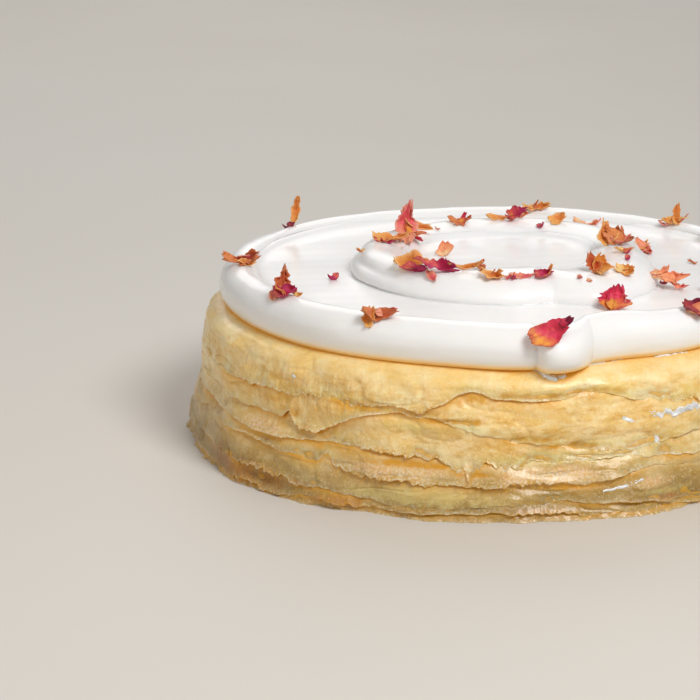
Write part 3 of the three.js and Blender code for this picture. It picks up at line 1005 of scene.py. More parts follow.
@dataclass(frozen=True)
class Ragged:
    """How a hem is torn: slow waves, then scallops, small teeth and threads where it is frayed,
    each as (depth, size)."""

    waves: tuple[tuple[float, float], ...] = ((0.7, 13), (0.4, 5))
    scallop: tuple[float, float] = (0.5, 2.6)
    tooth: tuple[float, float] = (0.28, 1.3)
    thread: tuple[float, float] = (0.15, 0.7)
    drop: float = 0.3
    plain: float = 0.25
    lowest: float = 0.5
    below_next: float = 0.5
    below_level: float = 1.0


@dataclass
class Stack:
    """The seven crepes, from the top down."""

    segments: int = 1400
    band_rows: int = 34
    band_crowding: float = 0.8
    side: Side = Side()
    relief_of: Skin = Skin()
    ragged: Ragged = Ragged()
    free_bends: FreeMarks = FreeMarks(5, (-40, 190), (4, 11), (-2, 1.8), 11)
    free_frays: FreeMarks = FreeMarks(7, (-45, 195), (3, 12), (0.4, 1.6), 41)
    free_lifts: FreeMarks = FreeMarks(6, (-45, 195), (3, 9), (0.4, 1.4), 57)
    lip: float = 0.1
    edge: float = 0.3
    overlap: float = 2.6
    below_level: float = 1.0
    tuck: float = 1.3
    tuck_ends: Range = (-0.1, 1.1)
    overhang: float = 1.3
    least_band: float = 0.1
    corner: float = 5.0
    corner_shares: tuple[float, ...] = (0, 0.3, 0.65, 0.9, 1)
    top_radii: tuple[float, ...] = (0, 40, 70)
    shoulder_radii: tuple[float, ...] = (80, 85.5, 89.3, 91.7, 92.6)
    shoulder_heights: tuple[float, ...] = (42, 42, 41.3, 39.9, 38.0)
    shoulder_rows: int = 16
    shoulder_relief: Range = (78, 88)
    cap_in: Range = (2, 0.6)
    cap_up: Range = (0.3, 0.2)
    under_steps: tuple[float, ...] = (0.4, 1.2, 2.5)
    under_lean: Range = (0.1, 0.3)
    under_slack: float = 0.4
    under_deep: Range = (4, 2.2)
    under_clear: float = 0.3
    under_radius: float = 60
    foot_shares: tuple[float, ...] = (0.97, 0.5, 0)
    lap: Range = (0.03, 0.85)
    lap_middle: float = 0.38
    lap_vary: float = 0.85
    lap_length: float = 24
    lap_radius: float = 95.0
    lap_seed: int = 7
    fibres: Marks = ((-126, 20, 1.0), (20, 25, 0.8), (110, 20, 0.8))
    fibre_height: float = 31
    fibre_reach: float = 6.5
    edge_reach: float = 0.7
    edge_least: float = 0.35
    edge_laps: Range = (0.05, 0.5)
    lace_reach: float = 1.6
    shade_below: float = 1.4
    shade_above: float = 0.3
    shade_proud: Range = (0, 0.6)
    shade_hidden: float = 0.8
    shade_ring: Range = (1.0, 4.2)
    wet_and_shade_zone: Range = (0, 29)
    calm_zone: Range = (34, 39)

    def __post_init__(self) -> None:
        """Works out the hems."""
        self.azimuths = np.arange(self.segments) * TURN / self.segments
        self.smooth_hems: list[np.ndarray] = []
        self.hems: list[np.ndarray] = []
        self.outsides: list[tuple[np.ndarray, np.ndarray]] = []
        self.last = len(HEM_LINES) - 1
        round_cake = on_circle(self.azimuths, self.lap_radius, 0.0)
        uneven = [noise(round_cake, self.lap_length, self.lap_seed + number) for number in range(self.last)]
        self.laps = [np.clip(self.lap_middle + self.lap_vary * lump, *self.lap) for lump in uneven]
        bends = self.free_bends.drawn(self.last)
        self.frays = self.free_frays.drawn(self.last + 1)
        self.lifts = self.free_lifts.drawn(self.last + 1)
        for number, (line, free) in enumerate(zip(HEM_LINES, [*bends, []])):
            self.smooth_hems.append(self._smooth_hem(number, line, free))
            self.hems.append(self._ragged_hem(number, line))

    def _sum(self, marks: Waves) -> np.ndarray:
        """The marks added up at every azimuth."""
        hills = (amount * hill(self.azimuths, at, width) for at, width, amount in marks)
        return sum(hills, 0 * self.azimuths)

    def _fray(self, number: int) -> np.ndarray:
        """How frayed a crepe's hem is at every azimuth."""
        return self._sum([*HEM_LINES[number].frays, *self.frays[number]])

    def _lift(self, number: int) -> np.ndarray:
        """How far a crepe's hem comes away from the cake at every azimuth."""
        return self._sum([*HEM_LINES[number].lifts, *self.lifts[number]])

    def _smooth_hem(self, number: int, line: HemLine, free: Waves) -> np.ndarray:
        """The hem's height without its nicks and tears.

        Args:
            number: the crepe's place from the top, from 0.
            line: its hem line.
            free: its bends that lie by chance.

        Returns:
            A height for every azimuth.
        """
        if number == self.last:
            return np.zeros(self.segments)
        bent = line.height + sway(self.azimuths, [line.wave]) + self._sum([*line.bends, *free])
        above = self.smooth_hems[-1] if number else np.full(self.segments, CAKE_TOP)
        ceiling = np.minimum(above - HEM_STEP, HEM_LINES[number + 1].level - HEM_BELOW_LEVEL)
        return np.maximum(np.minimum(bent, ceiling), LOWEST_HEM)

    def _ragged_hem(self, number: int, line: HemLine) -> np.ndarray:
        """The hem's height with nicks, scallops and hanging threads.

        Args:
            number: the crepe's place from the top, from 0.
            line: its hem line.

        Returns:
            A height for every azimuth.
        """
        smooth = self.smooth_hems[number]
        if number == self.last:
            return smooth
        ragged = self.ragged
        at = on_circle(self.azimuths, self.side.radii[0], 0)
        seed = 31 * number
        wide = sum(depth * noise(at, size, seed + k) for k, (depth, size) in enumerate(ragged.waves))
        scallop = ragged.scallop[0] * ridges(at, ragged.scallop[1], seed + 2)
        tooth = ragged.tooth[0] * ridges(at, ragged.tooth[1], seed + 3)
        thread = ragged.thread[0] * noise(at, ragged.thread[1], seed + 4)
        fray = ragged.plain + self._fray(number)
        nicked = smooth + self._sum(line.nicks) + (wide + fray * (scallop + tooth + thread - ragged.drop))
        above = self.hems[-1] if number else smooth + CAKE_TOP
        ceiling = np.minimum(above - ragged.below_next, HEM_LINES[number + 1].level - ragged.below_level)
        return np.clip(nicked, ragged.lowest, ceiling)

    def skin(self, number: int, z: np.ndarray) -> np.ndarray:
        """The radius of a crepe's outer skin without fine relief.

        Args:
            number: the crepe's place from the top, from 0.
            z: a height for every azimuth.

        Returns:
            A radius for every azimuth.
        """
        if number == 0:
            return self.side.radius(self.azimuths, z)
        own, above = self.smooth_hems[number], self.smooth_hems[number - 1]
        share = np.clip((z - own) / np.maximum(above - own, self.least_band), 0, self.overhang)
        return self.side.radius(self.azimuths, z) - self.laps[number - 1] * share

    def fibre(self, z: np.ndarray) -> np.ndarray:
        """How strongly upright fibres show."""
        height = np.exp(-(((z - self.fibre_height) / self.fibre_reach) ** 2))
        return np.clip(self._sum(self.fibres), 0, 1) * height

    def relief(self, number: int, radius: np.ndarray, z: np.ndarray) -> np.ndarray:
        """The fine relief of a crepe's skin: puffs, wrinkles and a lifted, frilly hem.

        Args:
            number: the crepe's place from the top, from 0.
            radius: the skin's radii.
            z: its heights.

        Returns:
            The change of the radius at each place.
        """
        skin = self.relief_of
        at = on_circle(self.azimuths, radius, z)
        seed = 100 * number
        drop = np.maximum(z - self.hems[number], 0)
        puff = skin.puff[0] * ripples(at * skin.puff_squeeze, skin.puff[1], seed + 1)
        puff = puff + skin.fold[0] * ripples(at * skin.fold_squeeze, skin.fold[1], seed + 2)
        wrinkle = skin.wrinkle[0] * fractal(at, skin.wrinkle[1], 3, seed + 10)
        sharp = 1 - skin.crease_sharpness * np.abs(noise(at, skin.crease[1], seed + 12))
        crease = -skin.crease[0] * np.maximum(sharp, 0)
        fine = skin.fine[0] * fractal(at, skin.fine[1], 2, seed + 20)
        upright = skin.upright[0] * self.fibre(z) * fractal(at, skin.upright[1], 2, seed + 25)
        hollow = -skin.trough * Tint.AMBER.strength(self.azimuths, z)
        lift = np.exp(-drop / skin.lift_reach) * self._lift(number) * skin.lift_share
        depth = skin.lowest_frill if number == self.last else skin.frill[0]
        frill = np.exp(-drop / skin.frill_reach) * depth * fractal(at, skin.frill[1], 2, seed + 40)
        return puff + wrinkle + crease + fine + upright + hollow + lift + frill

    def _shoulder(self) -> list[Row]:
        """The rows over the top crepe's round shoulder.

        Returns:
            Radii and heights, row by row.
        """
        stops = range(len(self.shoulder_radii))
        rows = []
        for share in np.linspace(0, stops[-1], self.shoulder_rows)[:-1]:
            radius = curve_through(stops, self.shoulder_radii, np.array(share)) + 0 * self.azimuths
            z = curve_through(stops, self.shoulder_heights, np.array(share)) + 0 * self.azimuths
            plain = curve_through(self.side.heights, self.side.radii, z)
            carried = mix(radius, plain, smoothstep(share, stops[-1] / 2, stops[-1]))
            out = smoothstep(radius, *self.shoulder_relief)
            rows.append((carried + out * (self.side.fold(self.azimuths, z) + self.relief(0, radius, z)), z))
        return rows

    def _cap_rows(self, number: int) -> list[Row]:
        """The rows from the middle of the top to where the side begins.

        Args:
            number: the crepe's place from the top, from 0.

        Returns:
            Radii and heights, row by row.
        """
        level = HEM_LINES[number].level
        if number == 0:
            return [*((radius, level) for radius in self.top_radii), *self._shoulder()]
        top = self._band_top(number)
        corner = self.side.radius(self.azimuths, level + 0 * self.azimuths) - self.corner
        inner = self.skin(number, top) - self.tuck
        far, near = self.cap_in
        slope = [(inner - far, top + self.cap_up[0] * (level - top)), (inner - near, top + self.cap_up[1])]
        return [*((corner * share, level) for share in self.corner_shares), *slope]

    def _band_top(self, number: int) -> np.ndarray:
        """The height where a lower crepe's side begins, hidden under the hem over it."""
        return np.minimum(self.hems[number - 1] + self.overlap, HEM_LINES[number].level - self.below_level)

    def _band_rows(self, number: int) -> list[Row]:
        """The rows down the side that shows.

        Args:
            number: the crepe's place from the top, from 0.

        Returns:
            Radii and heights, row by row.
        """
        own = self.hems[number]
        top = self._band_top(number) if number else self.shoulder_heights[-1] + 0 * own
        rows = []
        for share in np.linspace(0, 1, self.band_rows) ** self.band_crowding:
            z = mix(top, own, share)
            radius = self.skin(number, z)
            tucked = self.tuck * smoothstep(z - self.hems[number - 1], *self.tuck_ends) if number else 0
            rows.append((radius + self.relief(number, radius, z) - tucked, z))
        return rows

    def _hem_rows(self, number: int) -> list[Row]:
        """The rows round the hem and back under the crepe, or across the flat foot.

        Args:
            number: the crepe's place from the top, from 0.

        Returns:
            Radii and heights, row by row.
        """
        own = self.hems[number]
        lip = self.skin(number, own) + self.relief(number, self.skin(number, own), own)
        if number == self.last:
            return [(lip * share, 0 * own) for share in self.foot_shares]
        below = HEM_LINES[number + 1].level
        low = own - self.lip
        rows = [(lip - self.lip, low), (lip - self.edge + self.lip, low), (lip - self.edge, own)]
        least, most = self.under_lean
        for up in self.under_steps:
            inner = self.skin(number, own + up) - self.edge - most * up + self.under_slack
            rows.append((np.minimum(lip - self.edge - least * up, inner), own + up))
        up, back = self.under_deep
        rows.append((self.skin(number, own + up) - back, np.minimum(own + up, below - self.under_clear)))
        return [*rows, (self.under_radius, below + GAP), (0, below + GAP)]

    def _shade(self, number: int, radius: np.ndarray, z: np.ndarray, caps: int) -> np.ndarray:
        """How deep in the shade of the hem or the ring over it a crepe lies.

        Args:
            number: the crepe's place from the top, from 0.
            radius: its radii, row by row.
            z: its heights, row by row.
            caps: how many rows lie under the crepe above.

        Returns:
            A number from 0 to 1 for each place.
        """
        if number == 0:
            # Painted shade where the ring stands on the top crepe.
            return 1 - smoothstep(radius - OuterRing().foot(self.azimuths), *self.shade_ring)
        above = self.hems[number - 1]
        proud = self.laps[number - 1] + self._lift(number - 1)
        away = np.where(z < above, (above - z) / self.shade_below, (z - above) / self.shade_above)
        under = np.exp(-away) * smoothstep(proud, *self.shade_proud)
        under[:caps] = 0
        return under

    def build(self, number: int, finish: Finish) -> Piece:
        """Makes one crepe.

        Args:
            number: its place from the top, from 0.
            finish: its material.

        Returns:
            The piece.
        """
        cap, band, hem = self._cap_rows(number), self._band_rows(number), self._hem_rows(number)
        rows = [*cap, *band, *hem]
        outer = len(cap) + len(band)
        radius, z = (np.array([row[k] * np.ones(self.segments) for row in rows]) for k in (0, 1))
        self.outsides.append((radius[:outer], z[:outer]))
        body = Lattice(f"crepe_{number + 1}_skin", len(rows), self.segments)
        body.set(radius, z)
        drop = np.maximum(z - self.hems[number], 0)
        near = np.exp(-drop / self.edge_reach)
        near[: len(cap)] = 0
        if number < self.last:
            near *= mix(self.edge_least, 1, smoothstep(self.laps[number], *self.edge_laps))
        # The shade field is painted into the crepe as amber shade and a faint painted glow.
        shade = self._shade(number, radius, z, len(cap))
        # The hidden inner faces are painted as lying in shade.
        shade[outer:] = self.shade_hidden
        lace = np.exp(-drop / self.lace_reach) * np.clip(self._fray(number), 0, 1) * (number < self.last)
        fields = {
            "edge": near,
            "shade": shade,
            "fibre": self.fibre(z),
            # How far up the painted shade and the wet darkening of the foot reach.
            "low": 1 - smoothstep(z, *self.wet_and_shade_zone),
            "calm": smoothstep(z, *self.calm_zone),
            "lace": lace,
            **{tint.name.lower(): tint.strength(self.azimuths, z) for tint in Tint},
        }
        for name, values in fields.items():
            body.keep(name, values)
        return hand_over(body.close(), [f"crepe_{number + 1}"], finish)


# ---- Cream ---------------------------------------------------------------------------------

POOL_TOP = 50.9
HEART_TOP = 55.2
ROPE_FOOT = 75.0
SINK = 0.5
FLARE = 1.6
FLAT_STEPS = 4


@dataclass
class Rope:
    """A piped rope at every azimuth: crest radius, half widths, middle height, rise and fall."""

    radius: np.ndarray
    outside: np.ndarray
    inside: np.ndarray
    middle: float
    rise: np.ndarray
    fall: float

    def section(self, sides: int, sunk: float = 0.0) -> tuple[np.ndarray, np.ndarray, np.ndarray]:
        """The outline of the rope.

        Args:
            sides: how many vertices the outline has.
            sunk: how much of the foot flares out instead of curling in, from 0 to 1.

        Returns:
            Radii, heights, and how far round the section each vertex is, in degrees.
        """
        turn = np.linspace(180 + ROPE_FOOT, -ROPE_FOOT, sides - FLAT_STEPS)[:, None]
        cosine, sine = np.cos(np.radians(turn)), np.sin(np.radians(turn))
        half = np.where(turn < 90, self.outside, self.inside)
        reach = np.where((turn > 0) & (turn < 180), self.rise, self.fall)
        low = np.maximum(-sine, 0)
        flared = half * np.sign(cosine) + FLARE * np.sign(cosine) * low**2
        radius = self.radius + np.where(low > 0, mix(half * cosine, flared, sunk), half * cosine)
        z = self.middle + reach * sine - SINK * low
        shares = (np.arange(FLAT_STEPS)[:, None] + 1) / (FLAT_STEPS + 1)
        radius = np.vstack([radius, mix(radius[-1], radius[0], shares)])
        z = np.vstack([z, mix(z[-1], z[0], shares)])
        turns = np.vstack([turn, mix(-ROPE_FOOT, -180 + ROPE_FOOT, shares)])
        return radius, z, turns + np.zeros_like(radius)

    def inner_radius(self, z: float) -> np.ndarray:
        """The radius of the rope's inner slope at a height."""
        share = np.clip((z - self.middle) / self.rise, 0, 0.999)
        return self.radius - self.inside * np.sqrt(1 - share**2)


def fall_to(middle: float, ground: float) -> float:
    """How far a rope falls from its middle height to stand a gap over the ground."""
    return (middle - ground - GAP) / math.sin(math.radians(ROPE_FOOT))


@dataclass(frozen=True)
class Terrace:
    """A step worn in a rope: its azimuth and half width, where it lies round the section and how
    far it reaches there, and how far it comes out."""

    at: float
    wide: float
    turn: float
    tall: float
    out: float


@dataclass(frozen=True)
class OuterRing:
    """The outer ring: its rope, the fat end that laps over its start, and where it leans out."""

    radius: float = 81.6
    half: float = 6.3
    middle: float = 48.0
    rise: float = 6.7
    seam: float = -82.6
    tail: float = -71.6
    end_out: float = 4.0
    end_swell: float = 2.1
    end_sink: float = 0.5
    groove: float = 0.65
    groove_wide: float = 0.45
    peak: float = 0.36
    blunt: float = 0.45
    tapered: float = 0.9
    foot_flare: float = 0.3
    lean_at: float = -84
    lean_wide: float = 13
    lean_out: float = 1.6
    lean_swell: float = 1.7
    start_at: float = -66
    start_wide: float = 9
    start_in: float = 3
    start_rise: float = 1.4
    terraces: tuple[Terrace, ...] = (Terrace(152, 16, 150, 30, -1.6), Terrace(36, 12, 150, 30, -1.4))
    waves: tuple[tuple[float, ...], ...] = ((2, 0.5, 40), (3, 0.4, 150), (7, 0.25, 80))

    def rope(self, azimuth: np.ndarray) -> Rope:
        """Works out the rope.

        Args:
            azimuth: the azimuths.

        Returns:
            The rope at each of them.
        """
        along = between(azimuth, self.seam) / (self.tail - self.seam)
        peak = self.peak
        across = np.where(along < peak, (along - peak) / peak, (along - peak) / (1 - peak))
        dome = np.maximum(1 - across**2, 0)
        domed = np.where(across < 0, dome**self.blunt, dome**self.tapered)
        end = np.where((along >= 0) & (along <= 1), domed, 0)
        groove = self.groove * hill(azimuth, self.seam, self.groove_wide)
        lean = hill(azimuth, self.lean_at, self.lean_wide)
        start = hill(azimuth, self.start_at, self.start_wide)
        uneven = sway(azimuth, self.waves)
        return Rope(
            radius=self.radius + uneven + self.end_out * end + self.lean_out * lean - self.start_in * start,
            outside=self.half + self.end_swell * end + self.lean_swell * lean - groove,
            inside=self.half + self.end_swell * end - groove,
            middle=self.middle,
            rise=self.rise - self.end_sink * end + uneven / 3 + self.start_rise * start - groove,
            fall=fall_to(self.middle, CAKE_TOP),
        )

    def foot(self, azimuth: np.ndarray) -> np.ndarray:
        """The radius where the ring's outer face meets the top crepe."""
        rope = self.rope(azimuth)
        return rope.radius + rope.outside * math.cos(math.radians(ROPE_FOOT))


@dataclass(frozen=True)
class InnerRing:
    """The inner ring: an oval rope with a wide foot in front and a soft dollop at its end."""

    radius: float = 38.1
    outside: float = 7.2
    inside: float = 12.5
    middle: float = 52.0
    rise: float = 7.5
    oval: tuple[tuple[float, ...], ...] = ((1, 1.4, 82), (2, 2.3, 33))
    foot_at: float = -84
    foot_wide: float = 38
    foot_out: float = 6.6
    seam: float = -69.5
    seam_soft: Range = (-4, 16)
    dollop_at: float = -36
    dollop_tail: float = 10
    dollop_out: float = 8.4
    dollop_swell: float = 2.4
    dollop_inward: float = 6.5
    dollop_sunk: float = 0.6
    groove: float = 0.5
    groove_wide: float = 1.8
    foot_flare: float = 1.0
    terraces: tuple[Terrace, ...] = (
        Terrace(-152, 30, 36, 11, -0.8), Terrace(-150, 36, 8, 17, 0.9), Terrace(60, 50, 150, 12, -0.5),
    )

    def rope(self, azimuth: np.ndarray) -> Rope:
        """Works out the rope.

        Args:
            azimuth: the azimuths.

        Returns:
            The rope at each of them.
        """
        begun = smoothstep(between(azimuth, self.seam), *self.seam_soft)
        ended = smoothstep(between(azimuth, self.dollop_at), 0, self.dollop_tail - self.dollop_at)
        dollop = begun * (1 - ended)
        groove = self.groove * hill(azimuth, self.seam, self.groove_wide)
        foot = self.foot_out * hill(azimuth, self.foot_at, self.foot_wide)
        return Rope(
            radius=self.radius + sway(azimuth, self.oval) + self.dollop_out * dollop,
            outside=self.outside + foot + self.dollop_swell * dollop - groove,
            inside=self.inside + self.dollop_inward * dollop - groove,
            middle=self.middle,
            rise=self.rise - self.dollop_sunk * dollop - groove,
            fall=fall_to(self.middle, POOL_TOP),
        )


@dataclass(frozen=True)
class Pool:
    """Cream poured inside a ring: its top, its foot, the ring round it, and one standing in it."""

    top: float
    foot: float
    brink: OuterRing | InnerRing
    stands: InnerRing | None = None


@dataclass
class CreamTop:
    """The poured cream and the two piped rings. Swells are (depth, length, seed)."""

    segments: int = 960
    sides: int = 64
    pool_rows: int = 60
    ring_swells: tuple[tuple[float, ...], ...] = ((0.13, 24, 3), (0.05, 9, 4))
    strand: tuple[float, ...] = (0.03, 40, 5)
    strand_radius: float = 81.0
    strand_pitch: float = 2
    foot_band: float = 30
    upper: Range = (-40, 220)
    # How high over the top crepe the painted warm bounce light reaches on the rings.
    soaked: Range = (0.3, 2.6)
    pool_swells: tuple[tuple[float, ...], ...] = ((0.12, 34, 8), (0.03, 11, 9))
    fillet: float = 1.5
    fillet_reach: float = 1.8
    stand: float = 1.0
    middle_calm: Range = (0, 0.2)
    rim_out: Range = (0.9, 2.0)
    rim_up: Range = (0.7, 0.9)
    foot_share: float = 0.8
    foot_step: float = 1
    outer: OuterRing = OuterRing()
    inner: InnerRing = InnerRing()

    @staticmethod
    def _swell(at: np.ndarray, swells: Waves) -> np.ndarray:
        """The height of several swells added up."""
        return sum(depth * ripples(at, length, seed) for depth, length, seed in swells)

    def build_ring(self, name: str, node: str, shape: OuterRing | InnerRing, finish: Finish) -> Piece:
        """Makes a piped ring.

        Args:
            name: the piece's name.
            node: the frame's node that it replaces.
            shape: the ring's sizes.
            finish: its material.

        Returns:
            The piece.
        """
        body = Lattice(name, self.sides, self.segments, ring=True)
        radius, z, turn = shape.rope(body.azimuths).section(self.sides, shape.foot_flare)
        at = on_circle(body.azimuths, radius, z)
        free = smoothstep(turn, -ROPE_FOOT, -ROPE_FOOT + self.foot_band)
        last = 180 + ROPE_FOOT
        free = free * (1 - smoothstep(turn, last - self.foot_band, last))
        swell = free * self._swell(at, self.ring_swells)
        along = on_circle(body.azimuths, self.strand_radius, turn * self.strand_pitch)
        strand = free * self.strand[0] * ripples(along, *self.strand[1:])
        for step in shape.terraces:
            height = np.exp(-(((turn - step.turn) / step.tall) ** 2))
            swell = swell + step.out * hill(body.azimuths, step.at, step.wide) * height
        out = np.cos(np.radians(turn)) * (swell + strand)
        up = np.sin(np.radians(turn)) * (swell + strand)
        raised = (turn > self.upper[0]) & (turn < self.upper[1])
        body.set(radius + out, z + np.where(raised, up, 0))
        # Painted warm bounce light low on the ring, just over the crepe.
        body.keep("soaked", 1 - smoothstep(z, *(CAKE_TOP + end for end in self.soaked)))
        return hand_over(body.close(), [node], finish)

    def build_pool(self, name: str, node: str, pool: Pool, finish: Finish) -> Piece:
        """Makes the cream poured inside a ring.

        Args:
            name: the piece's name.
            node: the frame's node that it replaces.
            pool: its sizes and the rings that touch it.
            finish: its material.

        Returns:
            The piece.
        """
        body = Lattice(name, self.pool_rows + 6, self.segments)
        brink = pool.brink.rope(body.azimuths).inner_radius(pool.top + self.fillet)
        shares = np.linspace(1 / self.pool_rows, 1, self.pool_rows)[:, None]
        radius = brink * shares
        at = on_circle(body.azimuths, radius, pool.top)
        z = pool.top + self._swell(at, self.pool_swells) * smoothstep(shares, *self.middle_calm)
        z = z + self.fillet * np.exp(-(brink - radius) / self.fillet_reach)
        if pool.stands is not None:
            rope = pool.stands.rope(body.azimuths)
            off = radius - rope.radius - rope.outside
            away = np.where(off > 0, off / self.fillet_reach, -2 * off / self.fillet_reach)
            z = z + self.stand * np.exp(-away)
        flat, foot = np.ones_like(brink), pool.foot
        near, far = (brink + out for out in self.rim_out)
        low, high = (z[-1] + up for up in self.rim_up)
        radius = np.vstack([0 * flat, radius, near, far, far, brink * self.foot_share, 0 * flat])
        ground = foot * flat
        z = np.vstack([pool.top * flat, z, low, high, (foot + self.foot_step) * flat, ground, ground])
        body.set(radius, z)
        return hand_over(body.close(), [node], finish)

    def build(self, finish: Finish) -> list[Piece]:
        """Makes all the cream that petals lie on.

        Args:
            finish: its material.

        Returns:
            The outer ring, the inner ring, the pool and the heart.
        """
        pool = Pool(POOL_TOP, CAKE_TOP + GAP, self.outer, self.inner)
        heart = Pool(HEART_TOP, POOL_TOP + GAP, self.inner)
        return [
            self.build_ring("outer_ring_cream", "cream_ring_outer", self.outer, finish),
            self.build_ring("inner_ring_cream", "cream_ring_inner", self.inner, finish),
            self.build_pool("pool_cream", "cream_pool", pool, finish),
            self.build_pool("heart_cream", "cream_heart", heart, finish),
        ]


# ---- Petals --------------------------------------------------------------------------------


@dataclass(frozen=True)
class Leaf:
    """One leaf of a petal head: its size, its attitude, its bends, how torn and crumpled it is,
    and its kind where that isn't the head's."""

    length: float
    width: float
    heading: float = 0
    pitch: float = 0
    roll: float = 0
    shift: tuple[float, float, float] = (0, 0, 0)
    curl: float = 0.3
    bend: float = 0.15
    twist: float = 20
    kind: Petal | None = None
    torn: float = 0.24
    crumple: float = 0.34


@dataclass(frozen=True)
class Head:
    """A petal head: where it lies, its kind and its leaves."""

    at: tuple[float, float]
    kind: Petal
    leaves: tuple[Leaf, ...]


BROWN, OCHRE, MAGENTA, CRIMSON = Petal.BROWN, Petal.OCHRE, Petal.MAGENTA, Petal.CRIMSON
PINK, PEACH, YELLOW, DARK = Petal.PINK, Petal.PEACH, Petal.YELLOW, Petal.DARK

